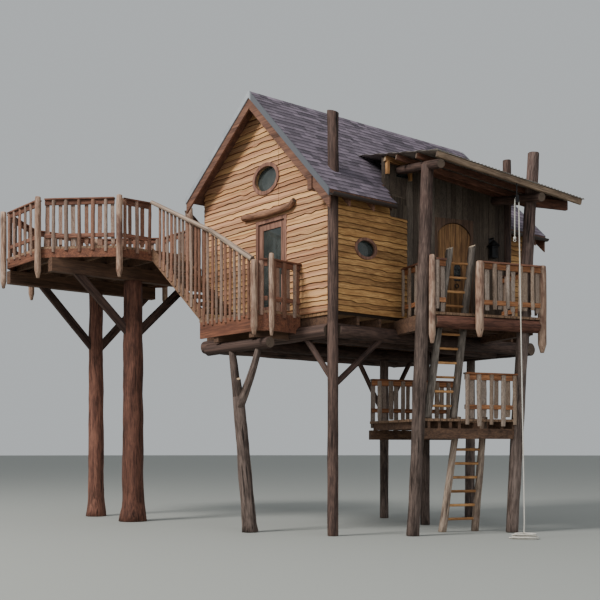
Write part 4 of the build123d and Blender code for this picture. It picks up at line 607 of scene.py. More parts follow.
class Timbers:
    """Logs and boards gathered into one mesh."""

    def __init__(self, name, finishes):
        self.name, self.finishes = name, finishes
        self.points, self.faces, self.grain, self.tints, self.kinds = [], [], [], [], []
        self.count = 0

    def tube(self, rings, grains, kinds, smooth_sides=True):
        """Closed rings of points joined into a skin, with a fan at both ends."""
        first, size = len(self.points), len(rings[0])
        tint = 0.5 + 0.5 * math.sin(self.count * 2.399 + len(self.name))
        self.count += 1
        for ring, grain in zip(rings, grains):
            self.points += ring
            self.grain += grain
        side, end = kinds
        sides = skin(len(rings), size, first)
        self.faces += sides
        self.kinds += [(side, smooth_sides)] * len(sides)
        for low, turned in ((first, True), (first + (len(rings) - 1) * size, False)):
            middle = len(self.points)
            self.points.append(sum(self.points[low:low + size], Vector()) / size)
            self.grain.append(sum(self.grain[low:low + size], Vector()) / size)
            for i in range(size):
                j = (i + 1) % size
                self.faces.append((low + j, low + i, middle) if turned else (low + i, low + j, middle))
                self.kinds.append((end, False))
        self.tints += [tint] * (len(self.points) - first)

    def log(
        self, start, end, radius, end_radius=None, bow=(0, 0, 0), lumps=0.07, sides=20, profile=None, kinds=(0, 1),
        cut=None,
    ):
        """A peeled log. Profile is a list of shares of the length and of the radius; cut slants the end to a side."""
        a, b = Vector(start), Vector(end)
        axis = b - a
        length = axis.length
        axis.normalize()
        across = axis.orthogonal().normalized()
        other = axis.cross(across)
        top = radius if end_radius is None else end_radius
        seed = Vector((self.count * 7.13, len(self.name) * 3.7, 1.9))
        steps = max(3, int(length / LOG_STEP))
        chip = min(LOG_CHIP / length, 0.2)
        rings, grains = [], []
        for share in [0.0, chip] + [k / steps for k in range(1, steps)] + [1 - chip, 1.0]:
            size = radius + (top - radius) * share
            if profile:
                size *= between(profile, share)
            if share in (0.0, 1.0):
                size *= CHIPPED
            middle = a + axis * (share * length) + Vector(bow) * (4 * share * (1 - share))
            ring, grain = [], []
            for i in range(sides):
                angle = 2 * math.pi * i / sides
                c, s = math.cos(angle), math.sin(angle)
                hollow = Vector((c * 1.1, s * 1.1, share * length * 1.5)) + seed
                knot = Vector((c * 3.0, s * 3.0, share * length * 5.0)) + seed
                dent = lumps * (0.5 + noise.noise(hollow)) + 0.35 * lumps * (0.5 + noise.noise(knot))
                reach = size * (1 - max(0.0, dent))
                spot = middle + across * (c * reach) + other * (s * reach)
                if cut and share > CUT_FROM:
                    spot -= axis * (Vector(cut).dot(spot - middle) * min(1.0, (share - CUT_FROM) / CUT_OVER))
                spot.z = max(spot.z, 0.0)
                ring.append(spot)
                grain.append(Vector((c * reach, s * reach, share * length)))
            rings.append(ring)
            grains.append(grain)
        self.tube(rings, grains, kinds)

    def board(self, start, end, width, depth, side=None, wave=0.0, kinds=(0, 1), step=0.14):
        """A board: width square to its upright plane, depth in it. Wave makes live edges."""
        a, b = Vector(start), Vector(end)
        axis = b - a
        length = axis.length
        axis.normalize()
        wide = Vector(side).normalized() if side else Vector((0, 0, 1)).cross(axis).normalized()
        deep = axis.cross(wide)
        w, d, e = width / 2, depth / 2, min(width, depth) * BOARD_CHAMFER
        outline = [(-w + e, -d), (w - e, -d), (w, -d + e), (w, d - e)]
        outline += [(w - e, d), (-w + e, d), (-w, d - e), (-w, -d + e)]
        seed = Vector((self.count * 5.3, len(self.name), 4.1))
        steps = max(1, int(length / step)) if wave else 1
        rings, grains = [], []
        for share in [k / steps for k in range(steps + 1)]:
            middle = a + axis * (share * length)
            spot = Vector((0, 0, share * length * 3.2)) + seed
            left = 1 - wave * (0.5 + noise.noise(spot))
            right = 1 - wave * (0.5 + noise.noise(spot + Vector((3.1, 0, 0))))
            under = 1 - wave * 0.6 * (0.5 + noise.noise(spot + Vector((0, 5.7, 0))))
            ring, grain = [], []
            for w, d in outline:
                w *= left if w < 0 else right
                d *= under if d < 0 else 1.0
                ring.append(middle + wide * w + deep * d)
                grain.append(Vector((w, d, share * length)))
            rings.append(ring)
            grains.append(grain)
        self.tube(rings, grains, kinds, smooth_sides=False)

    def build(self):
        """The gathered timbers as one object."""
        finishes = [FINISH[finish] for finish in self.finishes]
        mesh = new_mesh(self.name, self.points, self.faces, finishes, grain=self.grain, tint=self.tints)
        mesh.polygons.foreach_set("material_index", [kind for kind, _ in self.kinds])
        mesh.polygons.foreach_set("use_smooth", [smooth for _, smooth in self.kinds])
        mesh.validate()
        mesh.update()
        print(self.name, "timbers:", self.count, "faces:", len(mesh.polygons))
        return put(self.name, mesh)


print("timber builder ready")

# %% [markdown]
# The same places and slopes return in many pieces, so they get names: floors, ridge, eaves and pitches of the two
# roofs, and the posts and beams that others lean on.

# %% The house's measures
FLOOR_Z, PORCH_Z, LOOKOUT_Z, MID_Z = 4.35, 4.30, 6.10, 2.26
RIDGE_X, RIDGE_Z, RIGHT_EAVE, LEFT_EAVE = -2.20, 9.07, 0.30, -4.55
RIGHT_PITCH, LEFT_PITCH = math.radians(45), math.radians(37)
FRONT_Y, BACK_Y = -0.35, 6.25
WIDTH, LENGTH = 4.30, 6.10
GIRDER_Z, POST_TOP, YOKE_Z, BRACE_TOP = 3.95, 3.82, 3.73, 5.62
BACK_LOG_Y, BALCONY_Y = 5.95, -0.86
MIDDLE_POST, BACK_POST = (-0.86, 3.49), (-3.01, 4.35)
COLUMNS, COLUMN_TOP = ((-5.95, -0.90, 0.27), (-8.12, -0.69, 0.21)), 5.56
LOOKOUT_X, LOOKOUT_Y, LOOKOUT_R = -7.0, -1.0, 2.30


def roof_z(x, below=0.0):
    """The main roof's height at x, or a line so far under it."""
    if x >= RIDGE_X:
        return RIDGE_Z - (x - RIDGE_X) * math.tan(RIGHT_PITCH) - below / math.cos(RIGHT_PITCH)
    return RIDGE_Z - (RIDGE_X - x) * math.tan(LEFT_PITCH) - below / math.cos(LEFT_PITCH)


def porch_roof_z(n, t, below=0.0):
    """The porch roof's height, which falls outwards and to the right."""
    return 7.44 - 0.176 * n - 0.183 * t - below * 1.0317


def under_porch_roof(n, t, below):
    """A point so far under the porch roof."""
    return porch(n, t, porch_roof_z(n, t, below))


print("ridge at", RIDGE_Z, "porch roof's front corner at", round(porch_roof_z(0.6, 3.58), 3))

# %% [markdown]
# The house stands on peeled posts. Two of them lean along the porch, one forks like a slingshot under the balcony,
# and two thick columns with flared feet carry the lookout. They are drawn again here with their hollows and knots,
# on the same lines as the solids.

# %% Posts
posts = Timbers("posts", ["log", "end_dark", "log_dark"])
posts.log((0, 0, 0), (0, 0, 6.575), 0.11, kinds=(2, 1))
for x, y in (MIDDLE_POST, BACK_POST):
    posts.log((x, y, 0), (x, y, POST_TOP), 0.11)
posts.log((-1.88, 6.18, 0), (-1.65, BACK_LOG_Y, POST_TOP), 0.13, 0.11)
posts.log(porch(0, 0, 0), porch(0, 0.322, 7.16), 0.135, lumps=0.13, bow=(0.012, 0.018, 0), sides=26)
posts.log(porch(0, 2.25, 0), porch(0, 2.769, 7.66), 0.140, 0.129, lumps=0.13, bow=(0, -0.015, 0), sides=26)
posts.log((-0.33, 0.30, FLOOR_Z), (-0.33, 0.30, 8.30), 0.128, lumps=0.15, kinds=(2, 1), cut=(0.25, 0.1, 0), sides=26)
posts.log(porch(-1.22, 2.955, PORCH_Z), porch(-1.22, 2.955, 7.86), 0.097, lumps=0.13, kinds=(2, 1))
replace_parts(posts.build(), "support_posts")

columns = Timbers("lookout_columns", ["log_red", "end"])
for x, y, radius in COLUMNS:
    flare = [(0, 1.3), (0.08, 0.99), (1, 0.86)]
    columns.log((x, y, 0), (x, y, COLUMN_TOP), radius, profile=flare, lumps=0.10, sides=28)
columns.build()

fork = Timbers("forked_trunk", ["log", "end"])
swell = [(0, 1.12), (0.06, 1), (1, 1)]
fork.log((-1.73, -0.68, 0), (-1.89, BALCONY_Y, 2.72), 0.165, 0.128, lumps=0.12, sides=26, profile=swell)
fork.log((-1.885, BALCONY_Y, 2.50), (-2.11, BALCONY_Y, YOKE_Z), 0.110, 0.075, lumps=0.10)
fork.log((-1.875, BALCONY_Y, 2.50), (-1.18, BALCONY_Y, YOKE_Z), 0.104, 0.066, lumps=0.10, bow=(0.03, 0, -0.05))
fork.log((-1.81, BALCONY_Y, 2.70), (-1.62, -1.05, 3.06), 0.062, 0.042, lumps=0.08)
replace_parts(fork.build(), "forked_post")

# %% [markdown]
# Braces and round beams are the same logs, lying or leaning. The lookout's braces are sawn timber, so the builder
# lays boards there.

# %% Braces and girders
braces = Timbers("knee_timbers", ["log_dark", "end_dark"])
braces.log((0, 0, 2.99), (-0.87, 0, GIRDER_Z), 0.062)
braces.log((0, 0, 2.87), (0, 1.40, GIRDER_Z), 0.062)
x, y = BACK_POST
for side in (-1, 1):
    braces.log((x, y, 2.48), (x, y + side * 0.98, GIRDER_Z), 0.060)
    for (post_x, post_y, _), low in zip(COLUMNS, (4.25, 4.10)):
        foot, head = (post_x, post_y, low), (post_x, post_y + side * 1.45, BRACE_TOP)
        braces.board(foot, head, 0.09, 0.19, side=(1, 0, 0), wave=0.05)
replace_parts(braces.build(), "knee_braces")

round_beams = Timbers("round_beams", ["log_dark", "end_dark", "log_red"])
round_beams.log((-0.11, 0, GIRDER_Z), (-WIDTH, 0, GIRDER_Z), 0.15)
round_beams.log((0.15, BACK_LOG_Y, GIRDER_Z), (-WIDTH, BACK_LOG_Y, GIRDER_Z), 0.15)
for x in (0.0, MIDDLE_POST[0], BACK_POST[0], -4.15):
    round_beams.log((x, 0.1, GIRDER_Z), (x, BACK_LOG_Y - 0.1, GIRDER_Z), 0.148)
round_beams.log((-0.85, BALCONY_Y, YOKE_Z), (-2.95, BALCONY_Y, YOKE_Z), 0.12)
round_beams.log(porch(0.17, 0.378, PORCH_Z - 0.18), porch(0.17, 2.748, PORCH_Z - 0.18), 0.13, kinds=(2, 1))
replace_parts(round_beams.build(), "girders")

# %% [markdown]
# Corner logs hang past the floors like teeth. Each is one short log, whittled to a blunt point below and worn round
# at the top, so the log builder gets a profile of shares along its length.

# %% Hanging logs
HAIR = 0.0003
BALCONY_CORNER, BALCONY_LOG = (-0.85, -0.85), 0.055
STAIR_CORNER, STAIR_LOG = (-1.05, -1.05), 0.075


def octagon(radius):
    """The lookout's eight corners in plan."""
    angles = [math.radians(45 * k - 22.5) for k in range(8)]
    return [(LOOKOUT_X + radius * math.cos(a), LOOKOUT_Y + radius * math.sin(a)) for a in angles]


def against(corner, degrees, radius):
    """Where a log stands that touches a corner from that direction."""
    angle = math.radians(degrees)
    return corner[0] + (radius + HAIR) * math.cos(angle), corner[1] + (radius + HAIR) * math.sin(angle)


corner_logs = Timbers("corner_logs", ["log_peeled", "end_dark"])
STAIR_LOG_PLACE = against(STAIR_CORNER, -68, STAIR_LOG)
BALCONY_LOG_PLACE = against(BALCONY_CORNER, -20, BALCONY_LOG)
hanging = [(BALCONY_LOG_PLACE, 3.85, 5.44, BALCONY_LOG), (STAIR_LOG_PLACE, 3.87, 5.32, STAIR_LOG)]
hanging += [(corner, LOOKOUT_Z - 0.70, LOOKOUT_Z + 1.08, 0.075) for corner in octagon(LOOKOUT_R + 0.075 + HAIR)]
hanging += [
    (plan(0.200, 0.3117), 3.69, 5.39, 0.066), (plan(0.3853, 1.253), 3.83, 5.30, 0.085),
    (plan(0.190, 2.8413), 3.60, 5.35, 0.093),
]
for place, bottom, top, radius in hanging:
    share = radius / (top - bottom)
    shape = [(0, 0.42), (0.8 * share, 0.80), (1.6 * share, 1.0), (1 - 0.3 * share, 1.0), (1, 0.74)]
    corner_logs.log((*place, bottom), (*place, top), radius, profile=shape, lumps=0.10, sides=16)
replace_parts(corner_logs.build(), "hanging_logs")

# %% [markdown]
# Two ladders climb the porch side. The upper one leans and comes up through a hatch in the floor; both have thick
# peeled rails with paler rungs let into them.

# %% Ladders
RUNG_PITCH = 0.28
ladders = Timbers("log_ladders", ["log", "end_fresh", "rung", "log_pale", "log_grey"])
UPPER = (porch(-0.058, 0.340, 2.27), porch(-0.058, 0.850, 5.60), porch(-0.058, 0.930, 2.27), porch(-0.058, 1.360, 5.68))
LOWER = (porch(-0.575, 0.985, 0.0), porch(-0.311, 1.190, 2.32), porch(-0.575, 1.745, 0.0), porch(-0.311, 1.805, 2.32))
for (a, b, c, d), first, count, rung, slant, finish in (
    (UPPER, 2.51, 11, 0.026, (0.03, -0.67, 0), 4), (LOWER, 0.26, 7, 0.030, None, 3),
):
    for foot, head in ((a, b), (c, d)):
        ladders.log(foot, head, 0.086, 0.076, lumps=0.15, cut=slant, kinds=(finish, 1))
    for z in [first + RUNG_PITCH * i for i in range(count)]:
        left, right = (foot + (head - foot) * ((z - foot.z) / (head.z - foot.z)) for foot, head in ((a, b), (c, d)))
        ladders.log(left, right, rung, lumps=0.08, sides=12, kinds=(2, 2))
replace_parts(ladders.build(), "ladders")

# %% [markdown]
# The cabin is clad in live-edge boards: each overlaps the one below, its lower edge left as the tree grew. A wall
# could be one bumped sheet, but the shadows under the edges make the look, so each course is real; painted shade
# under each lip and under the lap above adds to them. A course is followed in small steps along the wall; at each
# step it is trimmed to the roof line and to the windows.

# %% Live-edge boards
CLAD_FOOT, CLAD_STEP, PROUD, TAPER = 4.33, 0.04, 0.027, 0.019
SIX_SIDES = [(i, (i + 1) % 6) for i in range(6)]


def edge_wave(course, s, seed):
    """How far a board's lower edge swings up or down at s."""
    slow = noise.noise(Vector((s * 1.15, course * 3.1, seed)))
    quick = noise.noise(Vector((s * 4.6, course * 5.7, seed + 9)))
    knot = max(0.0, noise.noise(Vector((s * 2.3, course * 7.9, seed + 4))) - 0.32)
    return 0.030 * slow + 0.014 * quick - 0.085 * knot


def free_spans(low, high, s, holes):
    """The heights of a board at s that no hole blocks."""
    spans = [(low, high)]
    for _, blocked in holes:
        gap = blocked(s)
        if gap:
            spans = [p for a, b in spans for p in ((a, min(b, gap[0])), (max(a, gap[1]), b))]
    return spans


def board_section(a, b, low, tall):
    """A board's six points at one place: height, how far out, and the edge value, which is painted shade: dark under
    the lip and at the top, under the next board's lap.
    """
    foot, head = (PROUD - TAPER * (z - low) / tall for z in (a, b))
    lip, shy = min(a + 0.007, (a + b) / 2), max(b - 0.022, (a + b) / 2 + 0.001)
    return (
        (a, 0.001, 1.0), (a, foot - 0.007, 1.0), (lip, foot, 0.0),
        (shy, PROUD - TAPER * (shy - low) / tall, 0.10), (b, head, 0.90), (b, 0.001, 1.0),
    )


def cladding(name, origin, along, outward, s0, s1, top, holes, seed, finish):
    """Lapped boards on a wall. Top gives the height at s; holes give the blocked heights at s, or nothing."""
    origin, along, outward = Vector(origin), Vector(along), Vector(outward)
    points, faces, grain, tints, dark = [], [], [], [], []
    steps = [s0 + k * CLAD_STEP for k in range(int((s1 - s0) / CLAD_STEP) + 1)]
    marks = [s for s in sorted({s1, *steps, *[m for h in holes for m in h[0]]}) if s0 <= s <= s1]
    z, course = CLAD_FOOT, 0
    while z < max(top(s) for s in marks):
        tall = 0.116 + 0.017 * math.sin(course * 2.4 + seed) + 0.008 * math.sin(course * 5.1)
        before = {}
        for s in marks:
            low = z + (edge_wave(course, s, seed) if course else 0.0)
            high = z + tall + edge_wave(course + 1, s, seed) + 0.004
            now = {}
            for key, (a, b) in enumerate(free_spans(low, min(high, top(s)), s, holes)):
                if b - a < 0.004:
                    continue
                now[key] = len(points)
                for height, out, lap_shade in board_section(a, b, low, tall):
                    points.append(origin + along * s + outward * out + Vector((0, 0, height)))
                    grain.append(Vector((height - z, out, s + course * 3.7)))
                    dark.append(lap_shade)
                if key in before:
                    faces += [(before[key] + i, before[key] + j, now[key] + j, now[key] + i) for i, j in SIX_SIDES]
                else:
                    faces.append(tuple(now[key] + i for i in reversed(range(6))))
            faces += [tuple(p + i for i in range(6)) for key, p in before.items() if key not in now]
            before = now
        faces += [tuple(p + i for i in range(6)) for p in before.values()]
        tints += [0.5 + 0.5 * math.sin(course * 4.9 + seed * 1.3)] * (len(points) - len(tints))
        z += tall
        course += 1
    # The edge values carry the painted shade under and over the laps.
    mesh = new_mesh(name, points, faces, [FINISH[finish]], edge=dark, grain=grain, tint=tints)
    if along.cross(Vector((0, 0, 1))).dot(outward) > 0:
        mesh.flip_normals()
    mesh.update()
    print(name, "courses:", course, "faces:", len(mesh.polygons))
    return put(name, mesh)


print("board section:", len(board_section(0, 0.1, 0, 0.1)), "points")

# %% [markdown]
# Each wall is told where its boards stop: at the roof less its thickness, at the doors and windows, and on the right
# side where the porch room begins. Short planks fill the strip under the eave beside that room.

# %% The clad walls
UNDER_ROOF = 0.062
ROOM_EDGE = porch(-1.2, 0.5, 0).y
EAVE_CUT, EAVE_CUT_FROM = 6.37, 1.52


def oval_hole(middle_s, middle_z, half_s, half_z):
    """Blocked heights behind an oval window's ring."""
    edges = [middle_s + half_s * math.cos(math.pi * k / 24) for k in range(25)]

    def blocked(s):
        across = (s - middle_s) / half_s
        if abs(across) >= 1:
            return None
        rise = half_z * math.sqrt(1 - across * across)
        return (middle_z - rise, middle_z + rise)

    return edges, blocked


def square_hole(s0, s1, z0, z1):
    return [s0 - 0.0005, s0 + 0.0005, s1 - 0.0005, s1 + 0.0005], lambda s: (z0, z1) if s0 < s < s1 else None


def gable_top(s):
    return roof_z(-s, UNDER_ROOF)


def side_top(s):
    return EAVE_CUT if s > EAVE_CUT_FROM else roof_z(0, UNDER_ROOF)


def level_top(x):
    """The top of a wall under the eave at x, which is the same all along."""
    height = roof_z(x, UNDER_ROOF)
    return lambda s: height


gable_holes = [square_hole(1.38, 2.40, 4.2, 6.43), oval_hole(2.06, 7.28, 0.41, 0.30)]
side_holes = [oval_hole(0.85, 5.62, 0.275, 0.195)]
CORNER, LAP = (0, 0, 0), 0.02
WALLS = (
    # name, where s is nought, its direction, outwards, from, to, top, holes, finish
    ("gable_boards", CORNER, (-1, 0, 0), (0, -1, 0), 0.08, WIDTH + LAP, gable_top, gable_holes, "siding"),
    # The side walls take the darker copy of the siding, which is painted shade.
    ("side_boards", CORNER, (0, 1, 0), (1, 0, 0), 0.08, ROOM_EDGE, side_top, side_holes, "siding_in_shade"),
    ("side_boards_back", CORNER, (0, 1, 0), (1, 0, 0), 4.455, LENGTH + LAP, level_top(0), [], "siding_in_shade"),
    ("left_boards", (-WIDTH, 0, 0), (0, 1, 0), (-1, 0, 0), -LAP, LENGTH + LAP, level_top(-WIDTH), [], "siding"),
    ("back_boards", (0, LENGTH, 0), (-1, 0, 0), (0, 1, 0), -LAP, WIDTH + LAP, gable_top, [], "siding"),
)
for seed, (name, origin, along, outward, s0, s1, top, holes, finish) in enumerate(WALLS, 1):
    cladding(name, origin, along, outward, s0, s1, top, holes, seed, finish)

filler = Timbers("eave_planks", ["plank", "end_dark"])
high = ROOM_EDGE
while high > EAVE_CUT_FROM + 0.04:
    low = max(high - 0.14, EAVE_CUT_FROM + 0.02)
    middle = (low + high) / 2
    filler.board((0.013, middle, 6.36), (0.013, middle, 6.645), 0.022, high - low - 0.004, side=(1, 0, 0))
    high = low
filler.build()

# %% [markdown]
# Shingles, planks and railing slabs repeat hundreds of times, so Geometry Nodes lay them. The tree takes loose
# points, each with its own turn and size, puts a copy of one small piece on every point, and then pushes the
# finished copies about a little with noise, so that no two edges match.

# %% The laying tree
def new_tree(name, kinds):
    """A Geometry Nodes tree with these inputs: the tree, its inputs as outputs to link from, and their keys."""
    tree = bpy.data.node_groups.new(name, "GeometryNodeTree")
    keys = {}
    for socket, kind in kinds.items():
        made = tree.interface.new_socket(socket, in_out="INPUT", socket_type="NodeSocket" + kind)
        keys[socket] = made.identifier
    tree.interface.new_socket("Geometry", in_out="OUTPUT", socket_type="NodeSocketGeometry")
    return tree, tree.nodes.new("NodeGroupInput").outputs, keys


def add_node(tree, kind, sockets=None, **settings):
    """A node in a tree, whose sockets get values or links from other nodes' outputs. Gives its own outputs."""
    made = tree.nodes.new(kind)
    for key, value in settings.items():
        setattr(made, key, value)
    for key, value in (sockets or {}).items():
        if isinstance(value, bpy.types.NodeSocket):
            tree.links.new(value, made.inputs[key])
        else:
            made.inputs[key].default_value = value
    return made.outputs


def run_tree(thing, tree_and_keys, values):
    """A modifier that runs a tree on an object, with values for its inputs."""
    tree, keys = tree_and_keys
    maker = thing.modifiers.new(tree.name, "NODES")
    maker.node_group = tree
    for key, value in values.items():
        maker[keys[key]] = value


def laying_tree():
    """Copies of a piece on points, with a chance tint, pushed about by noise."""
    tree, given, keys = new_tree("lay_pieces", {
        "Geometry": "Geometry", "Piece": "Object", "Wobble": "Float", "Wave scale": "Float", "Finish": "Material",
        "Seed": "Int",
    })
    piece = add_node(tree, "GeometryNodeObjectInfo", {"Object": given["Piece"]})["Geometry"]
    turn, size = (
        add_node(tree, "GeometryNodeInputNamedAttribute", {"Name": name}, data_type="FLOAT_VECTOR")["Attribute"]
        for name in ("turn", "size")
    )
    sockets = {"Points": given["Geometry"], "Instance": piece, "Rotation": turn, "Scale": size}
    laid = add_node(tree, "GeometryNodeInstanceOnPoints", sockets)["Instances"]
    chance = add_node(tree, "FunctionNodeRandomValue", {"Seed": given["Seed"]}, data_type="FLOAT")[1]
    sockets = {"Geometry": laid, "Name": "tint", "Value": chance}
    tinted = add_node(
        tree, "GeometryNodeStoreNamedAttribute", sockets, data_type="FLOAT", domain="INSTANCE",
    )["Geometry"]
    real = add_node(tree, "GeometryNodeRealizeInstances", {"Geometry": tinted})["Geometry"]
    wave = add_node(tree, "ShaderNodeTexNoise", {"Scale": given["Wave scale"], "Detail": 2.0})["Color"]
    swing = add_node(tree, "ShaderNodeVectorMath", {0: wave, 1: (0.5, 0.5, 0.5)}, operation="SUBTRACT")["Vector"]
    push = add_node(tree, "ShaderNodeVectorMath", {0: swing, "Scale": given["Wobble"]}, operation="SCALE")["Vector"]
    moved = add_node(tree, "GeometryNodeSetPosition", {"Geometry": real, "Offset": push})["Geometry"]
    done = add_node(tree, "GeometryNodeSetMaterial", {"Geometry": moved, "Material": given["Finish"]})["Geometry"]
    add_node(tree, "NodeGroupOutput", {"Geometry": done})
    return tree, keys


LAY_PIECES = laying_tree()


def lay(name, piece, places, finish, wobble, wave_scale, seed):
    """Copies of a piece on places, each a point, a turn and a size, as one object."""
    points, turns, sizes = zip(*places)
    spots = linked(name + "_spots", new_mesh(name + "_spots", points, [], turn=turns, size=sizes))
    run_tree(spots, LAY_PIECES, {
        "Piece": piece, "Wobble": wobble, "Wave scale": wave_scale, "Finish": FINISH[finish], "Seed": seed,
    })
    done = plain_mesh(spots)
    done.name = name
    print(name, "pieces:", len(places), "faces:", len(done.polygons))
    return put(name, done)


def stock(name, points, faces, edge=None):
    """One small piece to lay, kept out of the scene. Its grain runs along its tallest side; edge is its painted shade.
    """
    reach = [max(abs(p[i]) for p in points) for i in range(3)]
    along = reach.index(max(reach))
    written = {"grain": [(p[(along + 1) % 3], p[(along + 2) % 3], p[along]) for p in points]}
    if edge:
        written["edge"] = edge
    mesh = new_mesh(name, points, faces, **written)
    mesh.update()
    return bpy.data.objects.new(name, mesh)


print("laying tree ready, inputs:", list(LAY_PIECES[1]))

# %% [markdown]
# The roof's shingles are thin wedges in courses of 0.14 m, thicker at their lower end. They lie within the roof
# sheet of the solid, on boards that are a copy of it, 21 mm lower.

# %% Shingles
SHINGLE_LONG, SHINGLE_WIDE, EXPOSED, SHINGLE_GAP = 0.20, 0.26, 0.14, 0.004
ROOF_FRONT, ROOF_BACK = FRONT_Y + 0.002, BACK_Y - 0.002
THIN_END, THICK_END = (0.0, 0.0, 0.0025), (SHINGLE_LONG, -0.001, 0.0115)
wedge = stock(
    "shingle_wedge",
    [(x, y, z) for x, *heights in (THIN_END, THICK_END) for y in (-0.5, 0.5) for z in heights],
    [(0, 1, 3, 2), (4, 6, 7, 5), (1, 5, 7, 3), (0, 2, 6, 4), (0, 4, 5, 1), (2, 3, 7, 6)],
    # The edge values are painted shade: dark at the covered upper end and at the foot of the butt.
    edge=[1.0, 1.0, 1.0, 1.0, 1.0, 0.15, 1.0, 0.15],
)


def in_porch_room(x, y):
    """True where the eave is left out for the porch's own roof."""
    spot = Vector((x - PORCH_X, y - PORCH_Y, 0))
    return spot.dot(OUT) > -1.31 and -0.02 < spot.dot(ALONG) < 3.07


def shingle_places(eave_x, pitch):
    """Where the shingles of one slope lie, from the eave up."""
    side = 1 if eave_x > RIDGE_X else -1
    places = []
    row, down = 0, abs(eave_x - RIDGE_X) / math.cos(pitch) - EXPOSED
    while down > -0.10:
        start = max(down - (SHINGLE_LONG - EXPOSED), 0.004)
        y = ROOF_FRONT - (SHINGLE_WIDE / 2 if row % 2 else 0.0) + 0.03 * math.sin(row * 1.7)
        while y < BACK_Y:
            wide = SHINGLE_WIDE * (0.82 + 0.36 * (0.5 + 0.5 * math.sin(y * 91.7 + row * 12.3)))
            low, high = max(y, ROOF_FRONT), min(y + wide - SHINGLE_GAP, ROOF_BACK)
            y += wide
            if high - low < 0.03:
                continue
            middle = (low + high) / 2
            if side > 0 and in_porch_room(RIDGE_X + (start + SHINGLE_LONG * 0.6) * math.cos(pitch), middle):
                continue
            x = RIDGE_X + side * start * math.cos(pitch)
            sag = 0.0018 * math.sin(y * 37 + row)
            z = roof_z(x if side > 0 else x - 1e-6, 0.0165) + sag
            places.append(((x, middle, z), (0, pitch, 0 if side > 0 else math.pi), (1.0, high - low, 1.0)))
        down -= EXPOSED
        row += 1
    return places


tiles = shingle_places(RIGHT_EAVE, RIGHT_PITCH) + shingle_places(LEFT_EAVE, LEFT_PITCH)
lay("roof_shingles", wedge, tiles, "shingle", 0.0035, 9.0, 4)

CAP_HALF, CAP_LONG, CAP_STEP, CAPS = 0.115, 0.29, 0.215, 30
left, left_z = -CAP_HALF * math.cos(LEFT_PITCH), -CAP_HALF * math.sin(LEFT_PITCH)
right, right_z = CAP_HALF * math.cos(RIGHT_PITCH), -CAP_HALF * math.sin(RIGHT_PITCH)
outline = [(left, left_z), (0.0, 0.0), (right, right_z)]
outline += [(right, right_z - 0.004), (0.0, -0.006), (left, left_z - 0.004)]
points = [(x, y, z + lift) for y, lift in ((0.0, 0.0), (CAP_LONG, -0.004)) for x, z in outline]
ridge_cap = stock("ridge_cap", points, closed_skin(2, 6))
caps = [((RIDGE_X, FRONT_Y + 0.01 + k * CAP_STEP, RIDGE_Z - 0.0045), (0, 0, 0), (1, 1, 1)) for k in range(CAPS)]
lay("ridge_caps", ridge_cap, caps, "shingle", 0.003, 5.0, 9)

BOARDS_UNDER = 0.021
roof_boards = nodes["roof_slopes"].data.copy()
roof_boards.name = "roof_boards"
for vertex in roof_boards.vertices:
    vertex.co.z -= BOARDS_UNDER
roof_boards.materials.clear()
roof_boards.materials.append(FINISH["barge"])
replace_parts(put("roof_boards", roof_boards), "roof_slopes")

# %% [markdown]
# The porch's roof is corrugated sheet: waves 76 mm apart that run down the slope, with a slightly wavy front edge.
# A second tree makes the waves. It takes the flat sheet and lifts each point by the sine of its place along the
# porch; a Solidify modifier then gives the metal its thickness.

# %% Corrugated sheet
def wave_tree():
    """Lifts each point by the sine of its place across the waves."""
    tree, given, keys = new_tree("press_waves", {
        "Geometry": "Geometry", "Pitch": "Float", "Height": "Float", "Across": "Vector", "Finish": "Material",
    })
    place = add_node(tree, "GeometryNodeInputPosition")[0]
    run = add_node(tree, "ShaderNodeVectorMath", {0: place, 1: given["Across"]}, operation="DOT_PRODUCT")["Value"]
    turns = add_node(tree, "ShaderNodeMath", {0: run, 1: given["Pitch"]}, operation="DIVIDE")[0]
    angle = add_node(tree, "ShaderNodeMath", {0: turns, 1: 2 * math.pi}, operation="MULTIPLY")[0]
    sine = add_node(tree, "ShaderNodeMath", {0: angle}, operation="SINE")[0]
    lift = add_node(tree, "ShaderNodeMath", {0: sine, 1: given["Height"]}, operation="MULTIPLY")[0]
    up = add_node(tree, "ShaderNodeCombineXYZ", {"Z": lift})[0]
    moved = add_node(tree, "GeometryNodeSetPosition", {"Geometry": given["Geometry"], "Offset": up})[0]
    real = add_node(tree, "GeometryNodeRealizeInstances", {0: moved})[0]
    done = add_node(tree, "GeometryNodeSetMaterial", {"Geometry": real, "Material": given["Finish"]})[0]
    add_node(tree, "NodeGroupOutput", {"Geometry": done})
    return tree, keys


WAVE, WAVE_HEIGHT, WAVE_CUTS, SHEET_ROWS, SHEET_THICK = 0.076, 0.0095, 8, 7, 0.0022
SHEET_FROM, SHEET_ALONG, SHEET_FRONT, SHEET_BACK = -0.24, 3.815, 0.595, -2.69
CORNER_T, CORNER_SLANT = 0.2, 0.167
WAVE_STEP = WAVE / WAVE_CUTS
points = []
across = [SHEET_FROM + k * WAVE / WAVE_CUTS for k in range(int(SHEET_ALONG / WAVE_STEP) + 1)]
for t in across:
    near = max(-1.990 - 0.1536 * t, SHEET_BACK)
    far = SHEET_FRONT - max(CORNER_T - t, 0.0) / CORNER_SLANT + 0.004 * math.sin(t * 5.1)
    far = max(far, near + 0.02)
    for k in range(SHEET_ROWS):
        n = near + (far - near) * k / (SHEET_ROWS - 1)
        points.append(under_porch_roof(n, t, 0.0145))
starts = [c * SHEET_ROWS + k for c in range(len(across) - 1) for k in range(SHEET_ROWS - 1)]
faces = [(a, a + 1, a + 1 + SHEET_ROWS, a + SHEET_ROWS) for a in starts]
flat = new_mesh("corrugated_roof", points, faces)
flat.polygons.foreach_set("use_smooth", [True] * len(faces))
